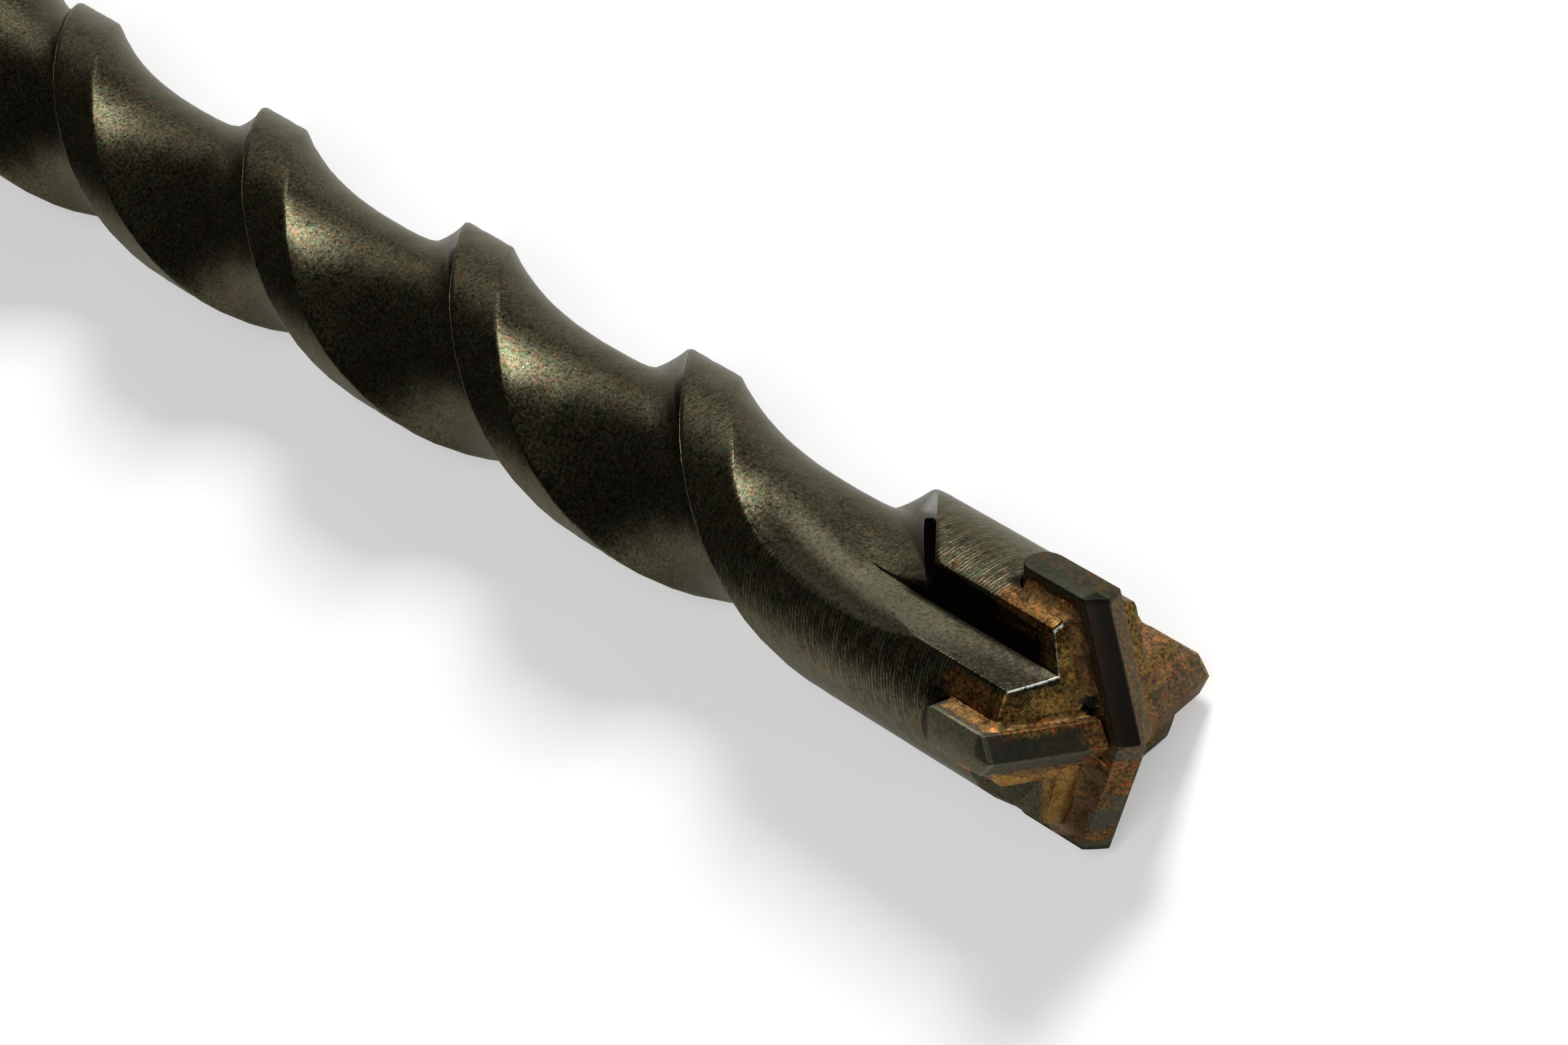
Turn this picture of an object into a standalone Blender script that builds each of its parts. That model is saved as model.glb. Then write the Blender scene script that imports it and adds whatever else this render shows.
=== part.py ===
"""SDS-max hammer drill bit with a carbide cross, lying on its lands.

The bit lies along X with its tip at +X. Every piece is modelled round the
bit's own axis, with the tip at X = 0 and depths running back along -X, and is
parented to an empty that holds the axis. Angles round the axis are in degrees,
from +Y towards +Z. Sizes are in metres.
"""

import math

import bmesh
import bpy
from mathutils import Matrix, Vector

MM = 0.001

# Driving dimensions of the whole bit
OVERALL_LENGTH = 320 * MM
WORKING_LENGTH = 205 * MM
CARBIDE_DIAMETER = 25 * MM
STEEL_DIAMETER = 21.2 * MM
POINT_ANGLE = 138

# Flutes: two starts, right hand
FLUTE_PITCH = 77 * MM
CORE_DIAMETER = 13.8 * MM
COLLAR_LENGTH = 7 * MM
FLUTE_RUNOUT = 24 * MM
RING_SEGMENTS = 36
LAND_SEGMENTS = 4

# Share of a flute's width from its steep side, and share of its full depth
FLUTE_SECTION = (
    (0.02, 0.40), (0.05, 0.77), (0.09, 0.90), (0.16, 0.975), (0.27, 1.00),
    (0.40, 0.995), (0.53, 0.945), (0.64, 0.855), (0.74, 0.72), (0.83, 0.54),
    (0.91, 0.33), (0.96, 0.17),
)

# Head: the lands widen into it and the flutes rise and end in it
HEAD_BACK_DEPTH = 24.6 * MM
HEAD_BACK_ANGLE = 65
FLARE_START_DEPTH = 52 * MM
FLARE_WIDEST_DEPTH = 30 * MM
FLARE_WIDEST_ANGLE = 114
FLARE_END_ANGLE = 105
FLUTE_RISE_DEPTH = 46 * MM
FLUTE_END_DEPTH = 19.5 * MM
SHOULDER_DEPTH = 7.2 * MM
SHOULDER_BEVEL = 0.3 * MM

# Chip channels ahead of the main plate, and pockets ahead of the side plates
MAIN_ARM_ANGLE = 45
CHANNEL_FROM_MAIN_PLATE = 4.6 * MM
CHANNEL_FROM_SIDE_PLATE = 5.7 * MM
CHANNEL_DRAFT = 6
CHANNEL_STRAIGHT_DEPTH = 25 * MM
CHANNEL_TAIL_DEPTH = 34.4 * MM
CHANNEL_TAIL_RISE = 0.36 * MM
POCKET_FROM_SIDE_PLATE = 3.9 * MM
POCKET_FROM_MAIN_PLATE = 5.0 * MM
POCKET_INNER_DEPTH = 6.9 * MM
POCKET_OUTER_DEPTH = 12.6 * MM

# Carbide plates and their seats
MAIN_PLATE_THICKNESS = 3.9 * MM
SIDE_PLATE_THICKNESS = 4.0 * MM
PLATE_HEEL_DEPTH = 15.3 * MM
SIDE_PLATE_SETBACK = 1.15 * MM
PLATE_HEEL_RADIUS = 1.6 * MM
RIDGE_LEAD = 0.25 * MM
LEADING_SLOPE = 40
TRAILING_SLOPE = 28
SEAT_CLEARANCE = 0.3 * MM
END_FACETS = 6
HEEL_STEPS = 4

# Shank with three open drive slots and two closed locking grooves
SHANK_DIAMETER = 18 * MM
SHANK_END_CHAMFER = 1.2 * MM
COLLAR_SLOPE = 35
DRIVE_SLOT_ANGLES = (90, 234, 306)
DRIVE_SLOT_WIDTH = 5.0 * MM
DRIVE_SLOT_DEPTH = 2.6 * MM
DRIVE_SLOT_LENGTH = 62 * MM
DRIVE_SLOT_CUTTER_RADIUS = 16 * MM
RUNOUT_STEPS = 6
LOCKING_GROOVE_ANGLES = (0, 180)
LOCKING_GROOVE_RADIUS = 3.5 * MM
LOCKING_GROOVE_DEPTH = 2.4 * MM
LOCKING_GROOVE_START = 28 * MM
LOCKING_GROOVE_LENGTH = 27 * MM

# Sizes that follow from the ones above
STEEL_RADIUS = STEEL_DIAMETER / 2
CARBIDE_RADIUS = CARBIDE_DIAMETER / 2
SHANK_RADIUS = SHANK_DIAMETER / 2
FLUTE_DEPTH = (STEEL_DIAMETER - CORE_DIAMETER) / 2
RIDGE_FALL = 1 / math.tan(math.radians(POINT_ANGLE / 2))
RIDGE_RAISE = RIDGE_LEAD * math.tan(math.radians(TRAILING_SLOPE))
SEGMENT_ANGLE = 360 / RING_SEGMENTS
RING_SPACING = FLUTE_PITCH / RING_SEGMENTS
HELIX_TURN = 360 / FLUTE_PITCH
FLUTE_ANGLE = 180 - LAND_SEGMENTS * SEGMENT_ANGLE
FACET_RADIUS = STEEL_RADIUS * math.cos(math.radians(SEGMENT_ANGLE / 2))
CUTTER_REACH = 2 * CARBIDE_RADIUS

STEEL_COLOUR = (0.20, 0.185, 0.165, 1)
CARBIDE_COLOUR = (0.29, 0.28, 0.27, 1)


def clear_scene():
    """Remove what the file opened with."""
    for thing in list(bpy.data.objects):
        bpy.data.objects.remove(thing, do_unlink=True)


def make_material(name, colour, metallic, roughness):
    """A Principled material."""
    material = bpy.data.materials.new(name)
    material.use_nodes = True
    shader = material.node_tree.nodes["Principled BSDF"]
    shader.inputs["Base Color"].default_value = colour
    shader.inputs["Metallic"].default_value = metallic
    shader.inputs["Roughness"].default_value = roughness
    return material


def make_object(name, bm, axis, material=None, turn=0):
    """Finish a bmesh as an object on the bit's axis, turned about it."""
    bmesh.ops.recalc_face_normals(bm, faces=bm.faces)
    mesh = bpy.data.meshes.new(name)
    bm.to_mesh(mesh)
    bm.free()
    mesh.shade_smooth()
    mesh.set_sharp_from_angle(angle=math.radians(30))
    thing = bpy.data.objects.new(name, mesh)
    bpy.context.collection.objects.link(thing)
    thing.parent = axis
    thing.rotation_euler.x = math.radians(turn)
    if material:
        mesh.materials.append(material)
    return thing


def on_bit(depth, radius, angle):
    """A point of the bit from its depth, radius and angle."""
    turn = math.radians(angle)
    return Vector((-depth, radius * math.cos(turn), radius * math.sin(turn)))


def facet_radius(angle):
    """Distance from the axis to the faceted outside of the steel."""
    half = SEGMENT_ANGLE / 2
    off_centre = (angle + half) % SEGMENT_ANGLE - half
    return FACET_RADIUS / math.cos(math.radians(off_centre))


def grid_angles(start, end):
    """Facet corners strictly between two angles."""
    half = SEGMENT_ANGLE / 2
    first = math.floor((start - half) / SEGMENT_ANGLE + 1.001)
    last = math.ceil((end - half) / SEGMENT_ANGLE - 1.001)
    return [half + step * SEGMENT_ANGLE for step in range(first, last + 1)]


def land_back_angle(depth):
    """Steep back edge of the land that ends as the head, at a depth."""
    return HEAD_BACK_ANGLE - (depth - HEAD_BACK_DEPTH) * HELIX_TURN


def land_front_angle(depth):
    """Front edge of the other land, which leaves its helix and widens."""
    if depth >= FLARE_START_DEPTH:
        return land_back_angle(depth) + FLUTE_ANGLE
    start_angle = land_back_angle(FLARE_START_DEPTH) + FLUTE_ANGLE
    if depth >= FLARE_WIDEST_DEPTH:
        span = FLARE_START_DEPTH - FLARE_WIDEST_DEPTH
        t = (FLARE_START_DEPTH - depth) / span
        rise = t * t * (3 - 2 * t)
        lead = t * (1 - t) ** 2 * HELIX_TURN * span
        return start_angle + rise * (FLARE_WIDEST_ANGLE - start_angle) + lead
    t = (FLARE_WIDEST_DEPTH - depth) / (FLARE_WIDEST_DEPTH - FLUTE_END_DEPTH)
    return FLARE_WIDEST_ANGLE + min(t, 1) ** 2 * (FLARE_END_ANGLE - FLARE_WIDEST_ANGLE)


def flute_share(depth, end_depth):
    """Share of the full flute depth, which runs out at both ends."""
    to_head = (FLUTE_RISE_DEPTH - depth) / (FLUTE_RISE_DEPTH - FLUTE_END_DEPTH)
    to_collar = (depth - end_depth + FLUTE_RUNOUT) / FLUTE_RUNOUT
    share = 1 - max(to_head, 0) ** 4 - max(to_collar, 0) ** 2
    return max(share, 0)


def fluted_ring(bm, depth, end_depth):
    """One ring of the fluted body: two lands and two flutes, as vertex rows."""
    back = land_back_angle(depth)
    front = land_front_angle(depth)
    share = flute_share(depth, end_depth)
    rows = []
    for half_turn in (0, 180):
        start = front - 180 + half_turn
        end = back + half_turn
        angles = [start] + grid_angles(start, end) + [end]
        land = [(a, bm.verts.new(on_bit(depth, facet_radius(a), a))) for a in angles]
        flute = []
        for across, down in FLUTE_SECTION:
            angle = end + across * (front - back)
            radius = facet_radius(angle) - share * down * FLUTE_DEPTH
            flute.append((angle, bm.verts.new(on_bit(depth, radius, angle))))
        rows.append((land, flute))
    return rows


def round_ring(bm, depth, radius):
    """One plain ring on the facet corners."""
    angles = [SEGMENT_ANGLE * (step + 0.5) for step in range(RING_SEGMENTS)]
    return [(a, bm.verts.new(on_bit(depth, radius, a))) for a in angles]


def join_rows(bm, upper, lower):
    """Fill between two rows of vertices that run by rising angle."""
    i, j = 0, 0
    while i < len(upper) - 1 or j < len(lower) - 1:
        next_upper = upper[i + 1][0] if i < len(upper) - 1 else math.inf
        next_lower = lower[j + 1][0] if j < len(lower) - 1 else math.inf
        here = abs(upper[i][0] - lower[j][0]) < 0.01
        if here and abs(next_upper - next_lower) < 0.01:
            corners = (upper[i][1], upper[i + 1][1], lower[j + 1][1], lower[j][1])
            i, j = i + 1, j + 1
        elif next_upper < next_lower - 0.01:
            corners = (upper[i][1], upper[i + 1][1], lower[j][1])
            i += 1
        else:
            corners = (upper[i][1], lower[j + 1][1], lower[j][1])
            j += 1
        bm.faces.new(corners)


def join_flutes(bm, upper, lower):
    """Fill between two rows that have the same points across a flute."""
    for k in range(len(upper) - 1):
        bm.faces.new((upper[k][1], upper[k + 1][1], lower[k + 1][1], lower[k][1]))


def join_fluted_rings(bm, upper, lower):
    """Fill between two rings of the fluted body."""
    for half in (0, 1):
        join_rows(bm, upper[half][0], lower[half][0])
        rows = []
        for ring in (upper, lower):
            land, flute = ring[half]
            rows.append([land[-1]] + flute + [ring[1 - half][0][0]])
        join_flutes(bm, rows[0], rows[1])


def whole_ring(rows):
    """The vertices of a fluted ring in one row, by rising angle."""
    (land_a, flute_a), (land_b, flute_b) = rows
    return land_a + flute_a + land_b + flute_b


def close_rows(bm, upper, lower):
    """Fill between two whole rings, starting where their angles meet best."""
    start = min(range(len(lower)), key=lambda k: abs(lower[k][0] - upper[0][0]))
    turned = [(a, v) for a, v in lower[start:]]
    turned += [(a + 360, v) for a, v in lower[:start + 1]]
    join_rows(bm, upper + [(upper[0][0] + 360, upper[0][1])], turned)


def sorted_ring(ring):
    """A ring with its angles brought into one turn and put in order."""
    return sorted(((angle % 360, vert) for angle, vert in ring), key=lambda item: item[0])


def build_body_mesh():
    """The steel before its slots are cut: head, lands, flutes, collar, shank."""
    bm = bmesh.new()
    end_depth = WORKING_LENGTH - COLLAR_LENGTH
    first = math.ceil((FLUTE_END_DEPTH - HEAD_BACK_DEPTH) / RING_SPACING) - 1
    last = math.ceil((end_depth - HEAD_BACK_DEPTH) / RING_SPACING)
    end_depth = HEAD_BACK_DEPTH + last * RING_SPACING
    depths = [HEAD_BACK_DEPTH + step * RING_SPACING for step in range(first, last + 1)]
    fluted = [fluted_ring(bm, depth, end_depth) for depth in depths]
    for upper, lower in zip(fluted, fluted[1:]):
        join_fluted_rings(bm, upper, lower)

    rim = STEEL_RADIUS - SHOULDER_BEVEL
    front = round_ring(bm, SHOULDER_DEPTH, rim)
    shoulder = round_ring(bm, SHOULDER_DEPTH + SHOULDER_BEVEL, STEEL_RADIUS)
    apex = bm.verts.new(on_bit(SHOULDER_DEPTH - rim * RIDGE_FALL, 0, 0))
    for k in range(RING_SEGMENTS):
        bm.faces.new((apex, front[k][1], front[k - 1][1]))
    close_rows(bm, front, shoulder)
    close_rows(bm, shoulder, sorted_ring(whole_ring(fluted[0])))

    cone = (STEEL_RADIUS - SHANK_RADIUS) / math.tan(math.radians(COLLAR_SLOPE))
    collar_depth = max(WORKING_LENGTH, end_depth + RING_SPACING)
    tail = [
        round_ring(bm, collar_depth, STEEL_RADIUS),
        round_ring(bm, collar_depth + cone, SHANK_RADIUS),
        round_ring(bm, OVERALL_LENGTH - SHANK_END_CHAMFER, SHANK_RADIUS),
        round_ring(bm, OVERALL_LENGTH, SHANK_RADIUS - SHANK_END_CHAMFER),
    ]
    close_rows(bm, tail[0], sorted_ring(whole_ring(fluted[-1])))
    for upper, lower in zip(tail, tail[1:]):
        close_rows(bm, upper, lower)
    bm.faces.new([vert for _, vert in tail[-1]])
    return bm


def prism(sections):
    """A closed solid through matching sections of points."""
    bm = bmesh.new()
    rings = [[bm.verts.new(point) for point in section] for section in sections]
    for upper, lower in zip(rings, rings[1:]):
        for k in range(len(upper)):
            bm.faces.new((upper[k - 1], upper[k], lower[k], lower[k - 1]))
    bm.faces.new(rings[0])
    bm.faces.new(rings[-1])
    return bm


def channel_section(depth, rise):
    """The V of a chip channel, beside an arm along +Y, raised towards its end."""
    corner = Vector((-depth, CHANNEL_FROM_SIDE_PLATE + rise, CHANNEL_FROM_MAIN_PLATE + rise))
    draft = math.radians(CHANNEL_DRAFT)
    along_main = Vector((0, math.cos(draft), -math.sin(draft))) * CUTTER_REACH
    along_side = Vector((0, -math.sin(draft), math.cos(draft))) * CUTTER_REACH
    return [corner, corner + along_main, corner + along_main + along_side, corner + along_side]


def channel_cutter():
    """Straight milled channel that runs out into the flute behind it."""
    return prism([
        channel_section(-CUTTER_REACH, 0),
        channel_section(CHANNEL_STRAIGHT_DEPTH, 0),
        channel_section(CHANNEL_TAIL_DEPTH, CHANNEL_TAIL_RISE),
    ])


def pocket_cutter():
    """Short pocket beside a side arm along +Y, its floor falling outwards."""
    y, z = POCKET_FROM_MAIN_PLATE, POCKET_FROM_SIDE_PLATE
    fall = (POCKET_OUTER_DEPTH - POCKET_INNER_DEPTH) / (STEEL_RADIUS - math.hypot(y, z))
    direction = Vector((y, z)).normalized()
    corners = [(y, z), (y + CUTTER_REACH, z), (y + CUTTER_REACH, z + CUTTER_REACH), (y, z + CUTTER_REACH)]
    front = [Vector((CUTTER_REACH, a, b)) for a, b in corners]
    floor = []
    for a, b in corners:
        outwards = (a - y) * direction.x + (b - z) * direction.y
        floor.append(Vector((-POCKET_INNER_DEPTH - fall * outwards, a, b)))
    return prism([front, floor])


def plate_bar(thickness, inner, outer, depth, heel, top):
    """A bar along Y with a rounded heel, from which a plate is ground."""
    half = thickness / 2
    profile = [(top, half), (top, -half)]
    turns = [math.radians(90 * k / HEEL_STEPS) for k in range(HEEL_STEPS + 1)]
    for turn in turns:
        profile.append((heel - depth - heel * math.sin(turn), heel - half - heel * math.cos(turn)))
    for turn in turns:
        profile.append((heel - depth - heel * math.cos(turn), half - heel + heel * math.sin(turn)))
    return prism([[Vector((x, y, z)) for x, z in profile] for y in (inner, outer)])


def grind(bm, point, normal):
    """Take away what lies beyond a plane and close the face."""
    geometry = bm.verts[:] + bm.edges[:] + bm.faces[:]
    result = bmesh.ops.bisect_plane(
        bm, geom=geometry, plane_co=point, plane_no=normal, clear_outer=True)
    rim = [item for item in result["geom_cut"] if isinstance(item, bmesh.types.BMEdge)]
    bmesh.ops.holes_fill(bm, edges=rim)


def grind_arm(bm, arm, thickness, setback):
    """Grind the round end, leading face and trailing face of an arm along +Y or -Y."""
    widest = math.asin(thickness / CARBIDE_DIAMETER)
    flat = CARBIDE_RADIUS * math.cos(widest / END_FACETS)
    for k in range(END_FACETS):
        turn = widest * (2 * k + 1 - END_FACETS) / END_FACETS
        normal = Vector((0, arm * math.cos(turn), math.sin(turn)))
        grind(bm, normal * flat, normal)
    ridge = Vector((RIDGE_RAISE - setback, 0, arm * RIDGE_LEAD))
    for slope in (LEADING_SLOPE, -TRAILING_SLOPE):
        side_fall = math.tan(math.radians(slope))
        grind(bm, ridge, Vector((1, arm * RIDGE_FALL, arm * side_fall)))


def seat_cutter(thickness):
    """The seat of a plate, with clearance along its heel and sides."""
    reach = CARBIDE_RADIUS + SEAT_CLEARANCE
    return plate_bar(
        thickness + 2 * SEAT_CLEARANCE, -reach, reach, PLATE_HEEL_DEPTH + SEAT_CLEARANCE,
        PLATE_HEEL_RADIUS + SEAT_CLEARANCE, CUTTER_REACH)


def drive_slot_cutter():
    """Open slot to the shank's end, run out by a disc cutter, on the +Y side."""
    floor = SHANK_RADIUS - DRIVE_SLOT_DEPTH
    start = OVERALL_LENGTH - DRIVE_SLOT_LENGTH
    sweep = math.acos(1 - DRIVE_SLOT_DEPTH / DRIVE_SLOT_CUTTER_RADIUS)
    side = []
    for k in range(RUNOUT_STEPS + 1):
        turn = sweep * (1 - k / RUNOUT_STEPS)
        depth = start + DRIVE_SLOT_CUTTER_RADIUS * (math.sin(sweep) - math.sin(turn))
        side.append((depth, floor + DRIVE_SLOT_CUTTER_RADIUS * (1 - math.cos(turn))))
    side.append((OVERALL_LENGTH + CUTTER_REACH, floor))
    side.append((OVERALL_LENGTH + CUTTER_REACH, CUTTER_REACH))
    side.append((start, CUTTER_REACH))
    half = DRIVE_SLOT_WIDTH / 2
    return prism([[Vector((-d, r, z)) for d, r in side] for z in (-half, half)])


def locking_groove_cutter():
    """Closed groove with round floor and ends, on the +Y side."""
    bm = bmesh.new()
    bmesh.ops.create_uvsphere(bm, u_segments=20, v_segments=10, radius=LOCKING_GROOVE_RADIUS)
    bmesh.ops.rotate(bm, verts=bm.verts, matrix=Matrix.Rotation(math.radians(90), 3, "Y"))
    stretch = LOCKING_GROOVE_LENGTH - 2 * LOCKING_GROOVE_RADIUS
    middle_edges = [e for e in bm.edges if all(abs(v.co.x) < 1e-6 for v in e.verts)]
    split = bmesh.ops.split_edges(bm, edges=middle_edges)
    back = [f for f in bm.faces if f.calc_center_median().x < 0]
    bmesh.ops.translate(bm, verts=list({v for f in back for v in f.verts}), vec=(-stretch, 0, 0))
    bmesh.ops.bridge_loops(bm, edges=[e for e in split["edges"] if e.is_boundary])
    front_depth = OVERALL_LENGTH - LOCKING_GROOVE_START - LOCKING_GROOVE_LENGTH
    centre = Vector((
        -front_depth - LOCKING_GROOVE_RADIUS,
        SHANK_RADIUS - LOCKING_GROOVE_DEPTH + LOCKING_GROOVE_RADIUS, 0))
    bmesh.ops.translate(bm, verts=bm.verts, vec=centre)
    return bm


def cut(body, name, bm, axis, turn):
    """Cut a shape out of the body with a Boolean."""
    cutter = make_object(name, bm, axis, turn=turn)
    cutter.hide_render = True
    cutter.display_type = "WIRE"
    boolean = body.modifiers.new(name, "BOOLEAN")
    boolean.operation = "DIFFERENCE"
    boolean.object = cutter


def make_body(axis, steel):
    """The forged and milled steel with its slots."""
    body = make_object("drill_body", build_body_mesh(), axis, steel)
    for half_turn in (0, 180):
        cut(body, f"cut_channel_{half_turn}", channel_cutter(), axis, MAIN_ARM_ANGLE + half_turn)
        cut(body, f"cut_pocket_{half_turn}", pocket_cutter(), axis, MAIN_ARM_ANGLE + 90 + half_turn)
    cut(body, "cut_main_seat", seat_cutter(MAIN_PLATE_THICKNESS), axis, MAIN_ARM_ANGLE)
    cut(body, "cut_side_seat", seat_cutter(SIDE_PLATE_THICKNESS), axis, MAIN_ARM_ANGLE + 90)
    for angle in DRIVE_SLOT_ANGLES:
        cut(body, f"cut_drive_slot_{angle}", drive_slot_cutter(), axis, angle)
    for angle in LOCKING_GROOVE_ANGLES:
        cut(body, f"cut_locking_groove_{angle}", locking_groove_cutter(), axis, angle)


def make_plates(axis, carbide):
    """The full width plate and the two side plates that meet it."""
    main_plate = plate_bar(
        MAIN_PLATE_THICKNESS, -CARBIDE_DIAMETER, CARBIDE_DIAMETER, PLATE_HEEL_DEPTH,
        PLATE_HEEL_RADIUS, CARBIDE_RADIUS)
    grind_arm(main_plate, 1, MAIN_PLATE_THICKNESS, 0)
    grind_arm(main_plate, -1, MAIN_PLATE_THICKNESS, 0)
    make_object("main_carbide_plate", main_plate, axis, carbide, MAIN_ARM_ANGLE)
    inner = MAIN_PLATE_THICKNESS / 2 + SEAT_CLEARANCE
    for name, turn in (("upper_side_plate", 90), ("lower_side_plate", 270)):
        side_plate = plate_bar(
            SIDE_PLATE_THICKNESS, inner, CARBIDE_DIAMETER, PLATE_HEEL_DEPTH,
            PLATE_HEEL_RADIUS, CARBIDE_RADIUS)
        grind_arm(side_plate, 1, SIDE_PLATE_THICKNESS, SIDE_PLATE_SETBACK)
        make_object(name, side_plate, axis, carbide, MAIN_ARM_ANGLE + turn)


def main():
    clear_scene()
    axis = bpy.data.objects.new("bit_axis", None)
    axis.location = (OVERALL_LENGTH / 2, 0, FACET_RADIUS)
    bpy.context.collection.objects.link(axis)
    steel = make_material("bare_steel", STEEL_COLOUR, 0.9, 0.55)
    carbide = make_material("carbide", CARBIDE_COLOUR, 0.7, 0.45)
    make_body(axis, steel)
    make_plates(axis, carbide)


main()
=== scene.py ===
"""Hammer drill bit with a brazed carbide cross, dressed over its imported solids.

The bit lies along X with its tip at +X. Depths run back from the tip, and
angles go round the bit's axis from +Y towards +Z. Sizes are in metres, and
inside the materials in millimetres.
"""

import math

import bpy
import numpy as np
from mathutils import Matrix, Vector, noise


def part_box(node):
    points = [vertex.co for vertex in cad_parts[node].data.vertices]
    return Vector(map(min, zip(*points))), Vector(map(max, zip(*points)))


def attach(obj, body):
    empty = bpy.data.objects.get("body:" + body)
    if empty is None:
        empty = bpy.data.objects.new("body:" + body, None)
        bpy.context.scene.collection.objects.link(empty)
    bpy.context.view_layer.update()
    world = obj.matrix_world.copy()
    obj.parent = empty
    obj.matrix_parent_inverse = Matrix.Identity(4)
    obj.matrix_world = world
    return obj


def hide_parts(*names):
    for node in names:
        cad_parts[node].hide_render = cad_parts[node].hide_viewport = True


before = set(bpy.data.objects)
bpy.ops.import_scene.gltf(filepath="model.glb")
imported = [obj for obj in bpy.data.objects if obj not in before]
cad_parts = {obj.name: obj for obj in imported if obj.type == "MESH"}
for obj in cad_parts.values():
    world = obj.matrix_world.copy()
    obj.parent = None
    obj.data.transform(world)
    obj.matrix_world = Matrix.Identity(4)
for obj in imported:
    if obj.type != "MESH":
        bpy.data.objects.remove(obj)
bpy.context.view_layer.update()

bl_info = {
    "name": "Hammer drill bit",
    "version": (1, 0, 0),
    "blender": (4, 5, 0),
    "location": "View3D > Sidebar > Drill Bit",
    "description": "Builds a fluted masonry drill bit with its brazed carbide plates",
    "category": "Add Mesh",
}

MM = 0.001
BODY_LOW, BODY_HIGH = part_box("drill_body")
PLATE_LOW, PLATE_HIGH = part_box("main_carbide_plate")
TIP = PLATE_HIGH.x
AXIS_HEIGHT = (BODY_LOW.z + BODY_HIGH.z) / 2
OVERALL_LENGTH = TIP - BODY_LOW.x

# Head, flutes and lands
STEEL_DIAMETER = 21.2 * MM
POINT_ANGLE = 138
RIDGE_FALL = 1 / math.tan(math.radians(POINT_ANGLE / 2))
FLUTE_TURN_START = 65
HEAD_BACK_DEPTH = 24.6 * MM
LAND_ANGLE = 40
FLARE_START_DEPTH = 52 * MM
FLARE_WIDEST_DEPTH = 30 * MM
FLARE_WIDEST_ANGLE = 114
FLARE_END_ANGLE = 105
FLUTE_RISE_DEPTH = 46 * MM
FLUTE_END_DEPTH = 19.5 * MM
FLUTE_STOP_DEPTH = 200 * MM
FLUTE_RUNOUT = 24 * MM
SCOOP = 0.8 * MM
SCOOP_START_DEPTH = 28 * MM
SCOOP_FULL_DEPTH = 22 * MM
STRAIGHT_RISE = 0.7 * MM
STRAIGHT_START_DEPTH = 58 * MM
STRAIGHT_FULL_DEPTH = 36 * MM
SHOULDER_DEPTH = 7.2 * MM
SHOULDER_BEVEL = 0.3 * MM
COLLAR_END_DEPTH = 205 * MM
COLLAR_CONE = 2.3 * MM
# Share of the flute's width from its steep back wall, and share of its depth
FLUTE_SECTION = (
    (0.00, 0.00), (0.02, 0.40), (0.05, 0.77), (0.09, 0.90), (0.16, 0.975),
    (0.27, 1.00), (0.40, 0.995), (0.53, 0.945), (0.64, 0.855), (0.74, 0.72),
    (0.83, 0.54), (0.91, 0.33), (0.96, 0.17), (1.00, 0.00),
)
EDGE_WEAR_WIDTH = 0.55 * MM
BACK_EDGE_WEAR = 0.2 * MM
FRONT_EDGE_WEAR = 0.10 * MM
LAND_COLUMNS = 28
FLUTE_COLUMNS = 44
COLUMNS = 2 * (LAND_COLUMNS + FLUTE_COLUMNS)
FLUTE_CROWDING = 1.6
SHANK_RINGS = 16

# Chip channels, pockets and plate seats
ARM_ANGLE = 45
CHANNEL_FROM_MAIN_PLATE = 4.6 * MM
CHANNEL_FROM_SIDE_PLATE = 5.7 * MM
CHANNEL_DRAFT = 6
CHANNEL_STRAIGHT_DEPTH = 25 * MM
CHANNEL_TAIL = ((31 * MM, 0.2 * MM), (34.8 * MM, 0.88 * MM))
POCKET_FROM_SIDE_PLATE = 3.9 * MM
POCKET_FROM_MAIN_PLATE = 5.0 * MM
POCKET_INNER_DEPTH = 6.9 * MM
POCKET_OUTER_DEPTH = 12.6 * MM
MAIN_PLATE_THICKNESS = 3.9 * MM
SIDE_PLATE_THICKNESS = 4.0 * MM
PLATE_HEEL_DEPTH = 15.3 * MM
PLATE_HEEL_RADIUS = 1.6 * MM
SEAT_CLEARANCE = 0.3 * MM
REACH = 26 * MM
HEAD_EDGE_WEAR = 0.09 * MM
HEAD_EDGE_ANGLE = 38
HEAD_EDGE_REACH = 34 * MM

# Painted shade, a painted slit shadow and painted light on the flutes' walls. Widths are shares
# of the flute's width from its back wall, and a height there is a depth plus SLIT_LEAN times a
# radius.
# Painted shade by the flutes' back walls, stronger near the head
PAINTED_SHADE_WIDTH = 0.2
PAINTED_SHADE_START_DEPTH = 48 * MM
PAINTED_SHADE_FULL_DEPTH = 34 * MM
# Painted light on the flutes' front walls behind the head
PAINTED_LIGHT_START_DEPTH = 46 * MM
PAINTED_LIGHT_FULL_DEPTH = 36 * MM
SLIT_LEAN = 2.5
SLIT_TOP = 54.9 * MM
SLIT_TOP_FADE = 0.6 * MM
SLIT_MIDDLE_DEPTH = 34.9 * MM
SLIT_MIDDLE_WIDTH = 0.044
SLIT_SPREAD = 0.0155
SLIT_CURVE = 0.0008
SLIT_WIDEST = 0.3
SLIT_EDGE = 0.01
# Painted light patch at the top of the back wall
PATCH_WIDTH = 0.045
PATCH_FADE = 0.8 * MM

# Braze fillets: shares of the width from the plate and of the height over the steel
BRAZE_SECTION = (
    (-0.12, -0.25), (0.50, -0.30), (0.95, -0.25), (1.06, -0.10), (0.84, 0.06), (0.62, 0.16),
    (0.42, 0.30), (0.25, 0.48), (0.11, 0.70), (-0.01, 0.97), (-0.12, 0.90), (-0.14, 0.30),
)
BRAZE_STEP = 0.25 * MM
BRAZE_LUMPS = 0.10 * MM
BRAZE_SWELL = 0.45
BRAZE_SEED = 1
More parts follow.
